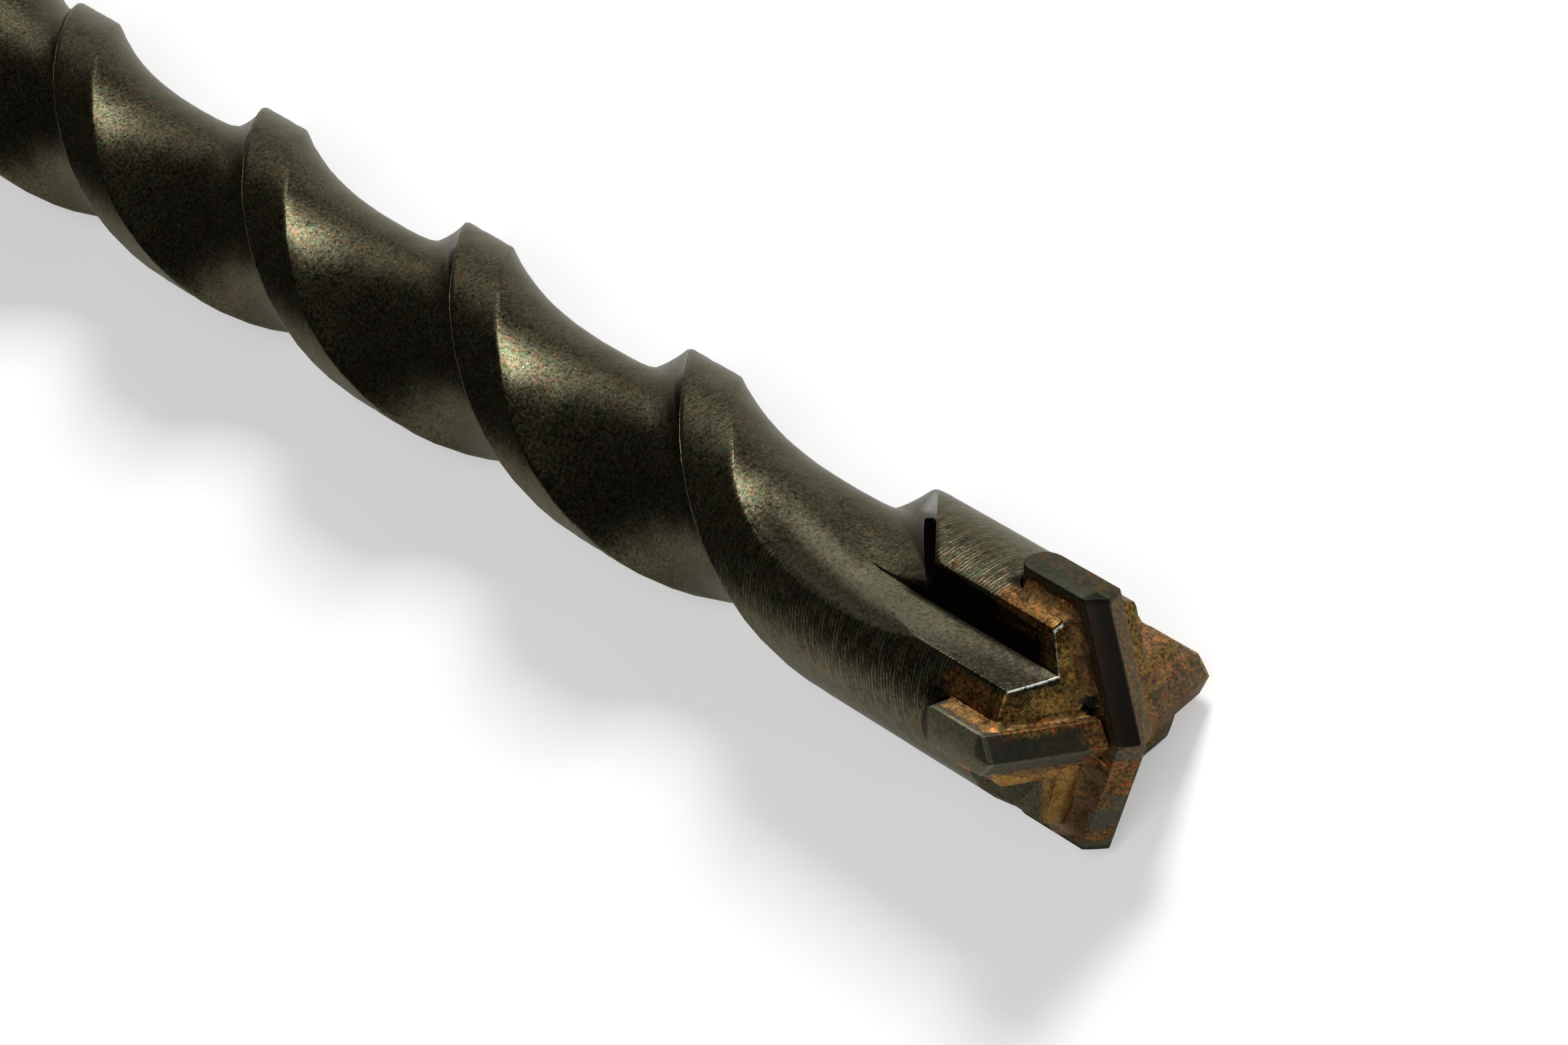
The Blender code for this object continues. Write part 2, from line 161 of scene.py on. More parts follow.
# Width, height up the side and height over the front, beside the near and the far
# plate, in the quarters with a chip channel and in those with a pocket
BRAZE_FORMS = (
    ((1.25 * MM, 0.9 * MM, 1.3 * MM), (0.45 * MM, 1.2 * MM, 0.5 * MM)),
    ((1.0 * MM, 0.8 * MM, 0.6 * MM), (1.0 * MM, 1.5 * MM, 1.9 * MM)),
)

# Shank
SHANK_DIAMETER = 18 * MM
SHANK_RADIUS = SHANK_DIAMETER / 2
SHANK_END_CHAMFER = 1.2 * MM
DRIVE_SLOT_ANGLES = (90, 234, 306)
DRIVE_SLOT_WIDTH = 5.0 * MM
DRIVE_SLOT_DEPTH = 2.6 * MM
DRIVE_SLOT_LENGTH = 62 * MM
DRIVE_SLOT_CUTTER_RADIUS = 16 * MM
LOCKING_GROOVE_ANGLES = (0, 180)
LOCKING_GROOVE_RADIUS = 3.5 * MM
LOCKING_GROOVE_DEPTH = 2.4 * MM
LOCKING_GROOVE_START = 28 * MM
LOCKING_GROOVE_LENGTH = 27 * MM

# Fixed colours, and colours that others are multiplied by
EDGE_TINT = (0.72, 0.70, 0.62, 1)
FLANK_BROWN = (0.026, 0.013, 0.007, 1)
FILM_BROWN = (0.13, 0.15, 0.2)
# Painted shadow for the slit, the heels' gaps and the braze hole
SHADOW_BLACK = (0.0015, 0.001, 0.001, 1)
# Painted highlight on the channels' worn front edges
EDGE_HIGHLIGHT = (0.72, 0.76, 0.66, 1)
# Painted light at the top of the back wall
PAINTED_LIGHT_PATCH = (0.15, 0.155, 0.13, 1)
# Painted shade on the main plate's ends and painted light on the side plates' ends
END_PAINTED_SHADE = (0.40, 0.45, 0.40, 1)
END_PAINTED_LIGHT = (2.0, 2.15, 1.9, 1)
RED_TURN = (1.65, 0.78, 0.66, 1)
GREEN_TURN = (0.76, 1.12, 0.86, 1)
FRONT_TURN = (0.88, 1.05, 0.98, 1)
# Painted light on the film beside the side plates
SIDE_PAINTED_LIGHT = (1.6, 1.5, 1.7, 1)

# Places in the materials, in millimetres
LINE_SCALE = 0.72
# Centre of the painted shade of the braze hole
HOLE_SHADE_PLACE = (4.4, 2.9, 2.35)
RIM_RADIUS = (STEEL_DIAMETER / 2 - SHOULDER_BEVEL) / MM
FRONT_CONE = SHOULDER_DEPTH / MM - RIM_RADIUS * RIDGE_FALL
MAIN_WALL = CHANNEL_FROM_MAIN_PLATE / MM
SIDE_WALL = CHANNEL_FROM_SIDE_PLATE / MM
MAIN_HALF = MAIN_PLATE_THICKNESS / 2 / MM
SIDE_HALF = SIDE_PLATE_THICKNESS / 2 / MM

# Stage
FLOOR_SIZE = 8
FLOOR_GLOW = 0.28
FLOOR_WHITE = 0.42
LAMP_AIM = (0.11, 0, 0.01)
LAMPS = (
    ("side_lamp", (-0.18, 1.31, 1.2), 0.5, "key_power"),
    ("low_lamp", (-0.97, 1.20, 0.80), 1.0, "low_power"),
    ("fill_lamp", (1.07, -0.448, 1.706), 1.3, "fill_power"),
)
CAMERA_PLACE = (0.4742, -0.02796, 0.36533)
CAMERA_TURN = (0.883232, 0.138892, 0.36554, 0.258827)
CAMERA_LENS = 125.92


# Settings that a user would change


class BitSizes(bpy.types.PropertyGroup):
    steel_diameter: bpy.props.FloatProperty(
        name="Steel diameter", description="Outside of the lands and the head",
        default=STEEL_DIAMETER, unit="LENGTH")
    flute_pitch: bpy.props.FloatProperty(
        name="Flute pitch", description="Length of one turn of a flute",
        default=77 * MM, unit="LENGTH")
    flute_depth: bpy.props.FloatProperty(
        name="Flute depth", description="Depth of the flutes under the lands",
        default=3.7 * MM, unit="LENGTH")
    ring_spacing: bpy.props.FloatProperty(
        name="Ring spacing", description="Length of a mesh ring along the flutes",
        default=0.9 * MM, unit="LENGTH")
    plate_edge: bpy.props.FloatProperty(
        name="Plate edge", description="Width of the worn edges of the carbide",
        default=0.12 * MM, unit="LENGTH")
    braze_scale: bpy.props.FloatProperty(
        name="Braze", description="Size of the braze fillets along the plates",
        default=1.0)


class BitFinish(bpy.types.PropertyGroup):
    steel_dark: bpy.props.FloatVectorProperty(
        name="Dark steel", description="Scale and grime on the steel", subtype="COLOR",
        default=(0.012, 0.010, 0.006))
    steel_light: bpy.props.FloatVectorProperty(
        name="Light steel", description="Rubbed steel", subtype="COLOR",
        default=(0.095, 0.088, 0.053))
    copper: bpy.props.FloatVectorProperty(
        name="Copper braze", description="Colour of the braze", subtype="COLOR",
        default=(0.36, 0.155, 0.042))
    gold: bpy.props.FloatVectorProperty(
        name="Golden flux", description="Yellow brown film by the braze", subtype="COLOR",
        default=(0.23, 0.142, 0.038))
    carbide: bpy.props.FloatVectorProperty(
        name="Carbide", description="Ground faces of the plates", subtype="COLOR",
        default=(0.08, 0.073, 0.052))
    # Painted shade on the main plate's leading faces
    leading_shade_colour: bpy.props.FloatVectorProperty(
        name="Painted_shade", description="Leading faces of the main plate", subtype="COLOR",
        default=(0.010, 0.008, 0.007))


class StageSettings(bpy.types.PropertyGroup):
    floor: bpy.props.FloatVectorProperty(
        name="Floor", description="Colour of the floor", subtype="COLOR",
        default=(0.70, 0.70, 0.70))
    key_power: bpy.props.FloatProperty(
        name="Side light", description="Power of the lamp beside the bit",
        default=27.0, unit="POWER")
    low_power: bpy.props.FloatProperty(
        name="Low light", description="Power of the wide low lamp",
        default=4.5, unit="POWER")
    fill_power: bpy.props.FloatProperty(
        name="Fill light", description="Power of the lamp before the bit",
        default=13.5, unit="POWER")
    sky: bpy.props.FloatProperty(
        name="Room light", description="Strength of the even light of the room",
        default=0.05)


# Small helpers


def clear_selection():
    bpy.ops.object.select_all(action="DESELECT")


def pick(piece):
    """Select one object alone and make it active."""
    clear_selection()
    piece.select_set(True)
    bpy.context.view_layer.objects.active = piece


def edit_selected(piece, kind, chosen):
    """Enter edit mode with the chosen vertices, edges or faces selected."""
    pick(piece)
    bpy.ops.object.mode_set(mode="EDIT")
    bpy.ops.mesh.select_mode(type=kind)
    bpy.ops.mesh.select_all(action="DESELECT")
    bpy.ops.object.mode_set(mode="OBJECT")
    mesh = piece.data
    for item in {"VERT": mesh.vertices, "EDGE": mesh.edges, "FACE": mesh.polygons}[kind]:
        item.select = bool(chosen(item))
    bpy.ops.object.mode_set(mode="EDIT")


def leave_edit():
    bpy.ops.object.mode_set(mode="OBJECT")


def merge_near(piece, distance):
    """Merge the vertices that lie together, and stay in edit mode."""
    edit_selected(piece, "VERT", lambda vertex: True)
    bpy.ops.mesh.remove_doubles(threshold=distance)


def recalculate(piece):
    """Point all faces outwards."""
    pick(piece)
    bpy.ops.object.mode_set(mode="EDIT")
    bpy.ops.mesh.select_all(action="SELECT")
    bpy.ops.mesh.normals_make_consistent(inside=False)
    leave_edit()


def round_edges(piece, width, segments, chosen, clamp=False):
    """Bevel the chosen edges."""
    edit_selected(piece, "EDGE", chosen)
    bpy.ops.mesh.bevel(offset=width, segments=segments, affect="EDGES", clamp_overlap=clamp)
    leave_edit()


def edge_span(piece, edge, axis):
    """How far an edge goes along X, 0, or Y, 1."""
    start, end = (piece.data.vertices[i].co[axis] for i in edge.vertices)
    return abs(start - end)


def baked(name):
    """Name the new object and put its place into its mesh."""
    piece = bpy.context.object
    piece.name = name
    pick(piece)
    bpy.ops.object.transform_apply(location=True, rotation=True, scale=True)
    return piece


def add_block(name, place, size):
    clear_selection()
    bpy.ops.mesh.primitive_cube_add(size=1, location=place, scale=size)
    return baked(name)


def add_rod(name, place, radius, length, sides, upright=False):
    """A cylinder along the bit, or upright."""
    clear_selection()
    bpy.ops.mesh.primitive_cylinder_add(
        vertices=sides, radius=radius, depth=length, location=place,
        rotation=(0, 0 if upright else math.pi / 2, 0))
    return baked(name)


def on_bit(depth, along_arm, across_arm):
    """A point near the bit from its depth and its place beside an arm along +Y."""
    return Vector((TIP - depth, along_arm, AXIS_HEIGHT + across_arm))


def turn_about_axis(piece, angle):
    """Turn a mesh about the bit's axis."""
    centre = Vector((0, 0, AXIS_HEIGHT))
    turn = Matrix.Rotation(math.radians(angle), 4, "X")
    piece.data.transform(Matrix.Translation(centre) @ turn @ Matrix.Translation(-centre))
    return piece


def soft_step(value, low, high):
    """0 at low, 1 at high, with soft ends. High may be under low."""
    t = np.clip((value - low) / (high - low), 0, 1)
    return t * t * (3 - 2 * t)


def finish_piece(piece, name, body, material, smooth_angle=30):
    """Name, shade and colour a piece and let it ride on its body."""
    piece.name = name
    piece.data.name = name
    pick(piece)
    bpy.ops.object.shade_smooth_by_angle(angle=math.radians(smooth_angle))
    piece.data.materials.clear()
    piece.data.materials.append(material)
    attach(piece, body)


# Steel body


def land_back_angle(sizes, depth):
    """Steep back edge of the land that ends as the head."""
    return FLUTE_TURN_START - (depth - HEAD_BACK_DEPTH) * 360 / sizes.flute_pitch


def land_front_angle(sizes, depth):
    """Front edge of the other land, which leaves its helix and widens."""
    flute_angle = 180 - LAND_ANGLE
    if depth >= FLARE_START_DEPTH:
        return land_back_angle(sizes, depth) + flute_angle
    start_angle = land_back_angle(sizes, FLARE_START_DEPTH) + flute_angle
    if depth >= FLARE_WIDEST_DEPTH:
        span = FLARE_START_DEPTH - FLARE_WIDEST_DEPTH
        t = (FLARE_START_DEPTH - depth) / span
        rise = t * t * (3 - 2 * t)
        lead = t * (1 - t) ** 2 * span * 360 / sizes.flute_pitch
        return start_angle + rise * (FLARE_WIDEST_ANGLE - start_angle) + lead
    t = (FLARE_WIDEST_DEPTH - depth) / (FLARE_WIDEST_DEPTH - FLUTE_END_DEPTH)
    return FLARE_WIDEST_ANGLE + min(t, 1) ** 2 * (FLARE_END_ANGLE - FLARE_WIDEST_ANGLE)


def flute_share(depth):
    """Share of the full flute depth, which runs out at both ends."""
    to_head = (FLUTE_RISE_DEPTH - depth) / (FLUTE_RISE_DEPTH - FLUTE_END_DEPTH)
    to_collar = (depth - FLUTE_STOP_DEPTH + FLUTE_RUNOUT) / FLUTE_RUNOUT
    return max(1 - max(to_head, 0) ** 4 - max(to_collar, 0) ** 2, 0)


def smooth_curve(points, at):
    """A smooth curve through points, read at many places."""
    x, y = np.array(points).T
    slope = np.gradient(y, x)
    k = np.clip(np.searchsorted(x, at) - 1, 0, len(x) - 2)
    width = x[k + 1] - x[k]
    t = (at - x[k]) / width
    rise = t * t * (3 - 2 * t)
    ease = slope[k] * t * (1 - t) ** 2 - slope[k + 1] * t * t * (1 - t)
    return y[k] * (1 - rise) + y[k + 1] * rise + width * ease


def ring_list(sizes):
    """Depth and radius of each ring, from the front cone to the shank's end."""
    radius = sizes.steel_diameter / 2
    rim = radius - SHOULDER_BEVEL
    rings = []
    for share in (0.05, 0.2, 0.35, 0.5, 0.65, 0.8, 0.92, 1.0):
        rings.append((SHOULDER_DEPTH - rim * (1 - share) * RIDGE_FALL, rim * share))
    for turn in (30, 60, 90):
        turn = math.radians(turn)
        rings.append((
            SHOULDER_DEPTH + SHOULDER_BEVEL * (1 - math.cos(turn)),
            rim + SHOULDER_BEVEL * math.sin(turn)))
    start = SHOULDER_DEPTH + SHOULDER_BEVEL
    steps = round((FLUTE_STOP_DEPTH - start) / sizes.ring_spacing)
    for k in range(1, steps + 1):
        rings.append((start + (FLUTE_STOP_DEPTH - start) * k / steps, radius))
    cone_end = COLLAR_END_DEPTH + COLLAR_CONE
    rings += [
        (COLLAR_END_DEPTH - 0.4 * MM, radius),
        (COLLAR_END_DEPTH, radius - 0.12 * MM),
        (cone_end - 0.6 * MM, SHANK_RADIUS + 0.5 * MM),
        (cone_end, SHANK_RADIUS + 0.12 * MM),
    ]
    shank_start = cone_end + 0.8 * MM
    shank_length = OVERALL_LENGTH - SHANK_END_CHAMFER - shank_start
    for k in range(SHANK_RINGS + 1):
        rings.append((shank_start + shank_length * k / SHANK_RINGS, SHANK_RADIUS))
    rings.append((OVERALL_LENGTH, SHANK_RADIUS - SHANK_END_CHAMFER))
    return rings


def edge_wear(from_edge, drop):
    """How far a worn edge has dropped at a distance from it."""
    return drop * np.clip(1 - from_edge / EDGE_WEAR_WIDTH, 0, 1) ** 2


def beside_channel(depth, share, across):
    """The flute's floor lies deeper behind the head, and its front rises straighter."""
    scoop = soft_step(depth, SCOOP_START_DEPTH, SCOOP_FULL_DEPTH) * min(1.6 * share, 1)
    deeper = soft_step(across, 0.08, 0.2) * soft_step(across, 0.75, 0.45)
    straight = soft_step(depth, STRAIGHT_START_DEPTH, STRAIGHT_FULL_DEPTH) * share
    higher = soft_step(across, 0.55, 0.78) * soft_step(across, 1.0, 0.84)
    return SCOOP * scoop * deeper - STRAIGHT_RISE * straight * higher


def ring_points(sizes, depth, outside):
    """Angles in degrees and radii of one ring's columns."""
    form_depth = min(max(depth, FLUTE_END_DEPTH), FLUTE_STOP_DEPTH)
    back = land_back_angle(sizes, form_depth)
    front = land_front_angle(sizes, form_depth)
    share = flute_share(depth)
    worn = min(share * 8, 1)
    land_width = math.radians(180 - front + back) * outside
    over = (1 - np.cos(np.pi * np.arange(LAND_COLUMNS) / LAND_COLUMNS)) / 2
    land = outside - worn * (
        edge_wear(over * land_width, FRONT_EDGE_WEAR)
        + edge_wear((1 - over) * land_width, BACK_EDGE_WEAR))
    across = (np.arange(FLUTE_COLUMNS) / FLUTE_COLUMNS) ** FLUTE_CROWDING
    down = smooth_curve(FLUTE_SECTION, across) * share * sizes.flute_depth
    down += beside_channel(depth, share, across)
    flute = outside - np.maximum(down, worn * (
        BACK_EDGE_WEAR * (1 - across) ** 40 + FRONT_EDGE_WEAR * across ** 40))
    angles, radii = [], []
    for half in (0, 180):
        start = front - 180 + half
        end = back + half
        angles += [start + (end - start) * over, end + across * (front - back)]
        radii += [land, flute]
    return np.concatenate(angles), np.concatenate(radii)


def make_blank(columns, rings):
    """A plain cylinder that is divided into rings."""
    blank = add_rod(
        "blank", on_bit(OVERALL_LENGTH / 2, 0, 0), SHANK_RADIUS, OVERALL_LENGTH, columns)
    edit_selected(
        blank, "EDGE", lambda edge: edge_span(blank, edge, 0) > OVERALL_LENGTH / 2)
    bpy.ops.mesh.subdivide(number_cuts=rings - 2)
    leave_edit()
    return blank


def blank_rows(blank, columns, rings):
    """Places of a blank's vertices, with the ring and the column of each."""
    flat = np.zeros(len(blank.data.vertices) * 3)
    blank.data.vertices.foreach_get("co", flat)
    place = flat.reshape(-1, 3)
    ring = np.rint((TIP - place[:, 0]) / OVERALL_LENGTH * (rings - 1)).astype(int)
    turn = np.degrees(np.arctan2(place[:, 2] - AXIS_HEIGHT, place[:, 1]))
    column = np.rint(turn * columns / 360).astype(int) % columns
    return place, ring, column


def shape_flutes(sizes, blank, rings):
    """Put the blank's rings and columns on the fluted form."""
    place, ring, column = blank_rows(blank, COLUMNS, len(rings))
    angles = np.zeros((len(rings), COLUMNS))
    radii = np.zeros((len(rings), COLUMNS))
    for k, (depth, outside) in enumerate(rings):
        angles[k], radii[k] = ring_points(sizes, depth, outside)
    depths = np.array([depth for depth, _ in rings])
    angle = np.radians(angles[ring, column])
    radius = radii[ring, column]
    place[:, 0] = TIP - depths[ring]
    place[:, 1] = radius * np.cos(angle)
    place[:, 2] = AXIS_HEIGHT + radius * np.sin(angle)
    blank.data.vertices.foreach_set("co", place.ravel())
    blank.data.update()


def block_through(name, sections):
    """A cube drawn out through matching sections of four points."""
    block = add_block(name, (0, 0, 0), (1, 1, 1))
    corner_of = {(-1, -1): 0, (1, -1): 1, (1, 1): 2, (-1, 1): 3}
    corners = {}
    for vertex in block.data.vertices:
        section = 0 if vertex.co.x > 0 else 1
        corner = corner_of[(round(2 * vertex.co.y), round(2 * vertex.co.z))]
        corners[vertex.index] = (section, corner)
        vertex.co = sections[section][corner]
    for number in range(2, len(sections)):
        last = {index for index, (section, _) in corners.items() if section == number - 1}
        edit_selected(block, "FACE", lambda face: set(face.vertices) == last)
        bpy.ops.mesh.extrude_region_move()
        leave_edit()
        vertices = block.data.vertices
        for vertex in vertices:
            if vertex.index not in corners:
                near = min(last, key=lambda i: (vertices[i].co - vertex.co).length)
                corner = corners[near][1]
                corners[vertex.index] = (number, corner)
                vertex.co = sections[number][corner]
    recalculate(block)
    return block


def channel_section(depth, rise):
    """Four corners of a chip channel beside an arm along +Y."""
    corner = on_bit(depth, CHANNEL_FROM_SIDE_PLATE + rise, CHANNEL_FROM_MAIN_PLATE)
    draft = math.radians(CHANNEL_DRAFT)
    along_main = Vector((0, math.cos(draft), -math.sin(draft))) * REACH
    along_side = Vector((0, -math.sin(draft), math.cos(draft))) * REACH
    return [corner, corner + along_main, corner + along_main + along_side, corner + along_side]


def channel_cutter(angle):
    """Milled chip channel that runs out into the flute behind it."""
    straight = [channel_section(-REACH, 0), channel_section(CHANNEL_STRAIGHT_DEPTH, 0)]
    tail = [channel_section(depth, rise) for depth, rise in CHANNEL_TAIL]
    return turn_about_axis(block_through("channel_cutter", straight + tail), angle)


def pocket_cutter(sizes, angle):
    """Short pocket beside a side arm, its floor falling outwards."""
    y, z = POCKET_FROM_MAIN_PLATE, POCKET_FROM_SIDE_PLATE
    fall = (POCKET_OUTER_DEPTH - POCKET_INNER_DEPTH) / (
        sizes.steel_diameter / 2 - math.hypot(y, z))
    direction = Vector((y, z)).normalized()
    corners = [(y, z), (y + REACH, z), (y + REACH, z + REACH), (y, z + REACH)]
    front = [on_bit(-REACH, a, b) for a, b in corners]
    floor = []
    for a, b in corners:
        outwards = (a - y) * direction.x + (b - z) * direction.y
        floor.append(on_bit(POCKET_INNER_DEPTH + fall * outwards, a, b))
    return turn_about_axis(block_through("pocket_cutter", [front, floor]), angle)


def seat_cutter(sizes, thickness, angle):
    """Seat of a plate, a bar with a rounded heel."""
    length = sizes.steel_diameter + 8 * MM
    top = -5 * MM
    bottom = PLATE_HEEL_DEPTH + SEAT_CLEARANCE
    seat = add_block(
        "seat_cutter", on_bit((top + bottom) / 2, 0, 0),
        (bottom - top, length, thickness + 2 * SEAT_CLEARANCE))
    heel = TIP - bottom + MM
    round_edges(seat, PLATE_HEEL_RADIUS + SEAT_CLEARANCE, 6, lambda edge: all(
        seat.data.vertices[i].co.x < heel for i in edge.vertices)
        and edge_span(seat, edge, 1) > length / 2)
    return turn_about_axis(seat, angle)


def drive_slot_cutters(angle):
    """Slot that is open at the shank's end, and the disc that runs it out."""
    floor = SHANK_RADIUS - DRIVE_SLOT_DEPTH
    sweep = math.acos(1 - DRIVE_SLOT_DEPTH / DRIVE_SLOT_CUTTER_RADIUS)
    centre_depth = (
        OVERALL_LENGTH - DRIVE_SLOT_LENGTH + DRIVE_SLOT_CUTTER_RADIUS * math.sin(sweep))
    end = OVERALL_LENGTH + 5 * MM
    height = 16 * MM
    slot = add_block(
        "drive_slot_cutter", on_bit((centre_depth + end) / 2, floor + height / 2, 0),
        (end - centre_depth, height, DRIVE_SLOT_WIDTH))
    disc = add_rod(
        "drive_slot_cutter", on_bit(centre_depth, floor + DRIVE_SLOT_CUTTER_RADIUS, 0),
        DRIVE_SLOT_CUTTER_RADIUS, DRIVE_SLOT_WIDTH, 96, upright=True)
    return [turn_about_axis(cutter, angle) for cutter in (slot, disc)]


def locking_groove_cutter(angle):
    """Closed groove with a round floor and round ends."""
    middle = OVERALL_LENGTH - LOCKING_GROOVE_START - LOCKING_GROOVE_LENGTH / 2
    centre = SHANK_RADIUS - LOCKING_GROOVE_DEPTH + LOCKING_GROOVE_RADIUS
    groove = add_rod(
        "locking_groove_cutter", on_bit(middle, centre, 0), LOCKING_GROOVE_RADIUS,
        LOCKING_GROOVE_LENGTH, 40)
    round_edges(
        groove, 0.98 * LOCKING_GROOVE_RADIUS, 8, lambda edge: edge_span(groove, edge, 0) < MM)
    return turn_about_axis(groove, angle)


def cut_away(body, cutters):
    """Take the cutters out of the body and remove them."""
    tray = bpy.data.collections.new("cutters")
    bpy.context.scene.collection.children.link(tray)
    for cutter in cutters:
        for home in list(cutter.users_collection):
            home.objects.unlink(cutter)
        tray.objects.link(cutter)
    pick(body)
    bpy.ops.object.modifier_add(type="BOOLEAN")
    boolean = body.modifiers[-1]
    boolean.operation = "DIFFERENCE"
    boolean.operand_type = "COLLECTION"
    boolean.collection = tray
    boolean.solver = "EXACT"
    bpy.ops.object.modifier_apply(modifier=boolean.name)
    for cutter in cutters:
        bpy.data.objects.remove(cutter, do_unlink=True)
    bpy.data.collections.remove(tray)


def soften_head(body):
    """Round the milled edges of the head a little."""
    mesh = body.data
    turns = np.zeros(len(mesh.edges))
    sides = {}
    for face in mesh.polygons:
        for key in face.edge_keys:
            sides.setdefault(key, []).append(face.normal.copy())
    for edge in mesh.edges:
        pair = sides.get(edge.key, [])
        if len(pair) == 2:
            turns[edge.index] = pair[0].angle(pair[1], 0)
    vertices = mesh.vertices
    sharp = math.radians(HEAD_EDGE_ANGLE)
    round_edges(body, HEAD_EDGE_WEAR, 2, lambda edge: turns[edge.index] > sharp and all(
        TIP - vertices[i].co.x < HEAD_EDGE_REACH for i in edge.vertices), clamp=True)


def mark_walls(sizes, body):
    """Mark the painted shade, the painted slit shadow and the painted light patch of the back
    walls, and the painted light on the front walls.
    """
    mesh = body.data
    marks = {name: np.zeros(len(mesh.vertices)) for name in ("wall", "pale", "slit", "patch")}
    for vertex in mesh.vertices:
        depth = TIP - vertex.co.x
        if not FLUTE_END_DEPTH < depth < FLUTE_STOP_DEPTH:
            continue
        y, z = vertex.co.y, vertex.co.z - AXIS_HEIGHT
        back = land_back_angle(sizes, depth)
        front = land_front_angle(sizes, depth)
        across = (math.degrees(math.atan2(z, y)) - back) % 180 / (front - back)
        # Painted light on the front wall
        front_wall = soft_step(across, 0.66, 0.82) * soft_step(across, 1.0, 0.985)
        pale = front_wall * soft_step(depth, PAINTED_LIGHT_START_DEPTH, PAINTED_LIGHT_FULL_DEPTH)
        marks["pale"][vertex.index] = pale
        if not 0.004 < across < 0.5:
            continue

        # The slit shadow: painted shadow where the back wall meets the head
        height = depth + SLIT_LEAN * math.hypot(y, z)
        forward = (SLIT_MIDDLE_DEPTH - depth) / MM
        reach = SLIT_MIDDLE_WIDTH + SLIT_SPREAD * forward + SLIT_CURVE * forward * abs(forward)
        inside = (min(reach, SLIT_WIDEST) + SLIT_EDGE - across) / (2 * SLIT_EDGE)
        marks["slit"][vertex.index] = min(inside, (SLIT_TOP - height) / SLIT_TOP_FADE)

        # Painted shade along the back wall and under the slit shadow, kept in the wall mark
        near_head = 0.7 + 0.5 * soft_step(depth, PAINTED_SHADE_START_DEPTH, PAINTED_SHADE_FULL_DEPTH)
        painted_shade = min(across / 0.03, 1) * max(1 - across / PAINTED_SHADE_WIDTH, 0)
        painted_shade *= near_head * min(4 * flute_share(depth), 1)
        below = soft_step(height, SLIT_TOP, SLIT_TOP - SLIT_TOP_FADE)
        below *= soft_step(across, 0.006, 0.02) * soft_step(across, 0.26, 0.17)
        marks["wall"][vertex.index] = max(painted_shade, 1.2 * below)

        # Painted light patch at the top of the back wall
        patch = soft_step(across, 0.0, 0.006) * soft_step(across, PATCH_WIDTH, 0.03)
        patch *= soft_step(height, SLIT_TOP, SLIT_TOP + PATCH_FADE)
        marks["patch"][vertex.index] = patch * soft_step(depth, 38 * MM, 36 * MM)
    for name, values in marks.items():
        mesh.attributes.new(name, "FLOAT", "POINT").data.foreach_set("value", values)


def all_cutters(sizes):
    cutters = []
    for half_turn in (0, 180):
        cutters.append(channel_cutter(ARM_ANGLE + half_turn))
        cutters.append(pocket_cutter(sizes, ARM_ANGLE + 90 + half_turn))
    cutters.append(seat_cutter(sizes, MAIN_PLATE_THICKNESS, ARM_ANGLE))
    cutters.append(seat_cutter(sizes, SIDE_PLATE_THICKNESS, ARM_ANGLE + 90))
    for angle in DRIVE_SLOT_ANGLES:
        cutters += drive_slot_cutters(angle)
    for angle in LOCKING_GROOVE_ANGLES:
        cutters.append(locking_groove_cutter(angle))
    return cutters


class MakeSteelBody(bpy.types.Operator):
    """Shape the fluted steel body and mill its channels, pockets, seats and slots"""
    bl_idname = "drill_bit.steel_body"
    bl_label = "Steel Body"

    def execute(self, context):
        sizes = context.scene.bit_sizes
        rings = ring_list(sizes)
        body = make_blank(COLUMNS, len(rings))
        shape_flutes(sizes, body, rings)
        recalculate(body)
        cut_away(body, all_cutters(sizes))
        merge_near(body, 0.01 * MM)
        leave_edit()
        soften_head(body)
        mark_walls(sizes, body)
        finish_piece(body, "steel_body", "root", steel_material(context), 28)
        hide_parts("drill_body")
        return {"FINISHED"}


# Carbide plates


def plate_from_solid(node, edge_width):
    """A copy of a plate's solid, merged and with its edges worn round."""
    clear_selection()
    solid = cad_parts[node]
    piece = solid.copy()
    piece.data = solid.data.copy()
    piece.parent = None
    for key in list(piece.keys()):
        del piece[key]
    bpy.context.scene.collection.objects.link(piece)
    merge_near(piece, 0.002 * MM)
    bpy.ops.mesh.dissolve_limited(angle_limit=math.radians(0.5))
    bpy.ops.mesh.select_mode(type="EDGE")
    bpy.ops.mesh.select_all(action="DESELECT")
    bpy.ops.mesh.edges_select_sharp(sharpness=math.radians(20))
    bpy.ops.mesh.bevel(offset=edge_width, segments=3, affect="EDGES", profile=0.5)
    leave_edit()
    return piece


class MakeCarbidePlates(bpy.types.Operator):
    """Make the full width plate and the two side plates"""
    bl_idname = "drill_bit.carbide_plates"
    bl_label = "Carbide Plates"

    def execute(self, context):
        sizes = context.scene.bit_sizes
        material = carbide_material(context)
        for node in ("main_carbide_plate", "upper_side_plate", "lower_side_plate"):
            piece = plate_from_solid(node, sizes.plate_edge)
            finish_piece(piece, node + "_ground", "root", material, 30)
            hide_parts(node)
        return {"FINISHED"}


# Braze


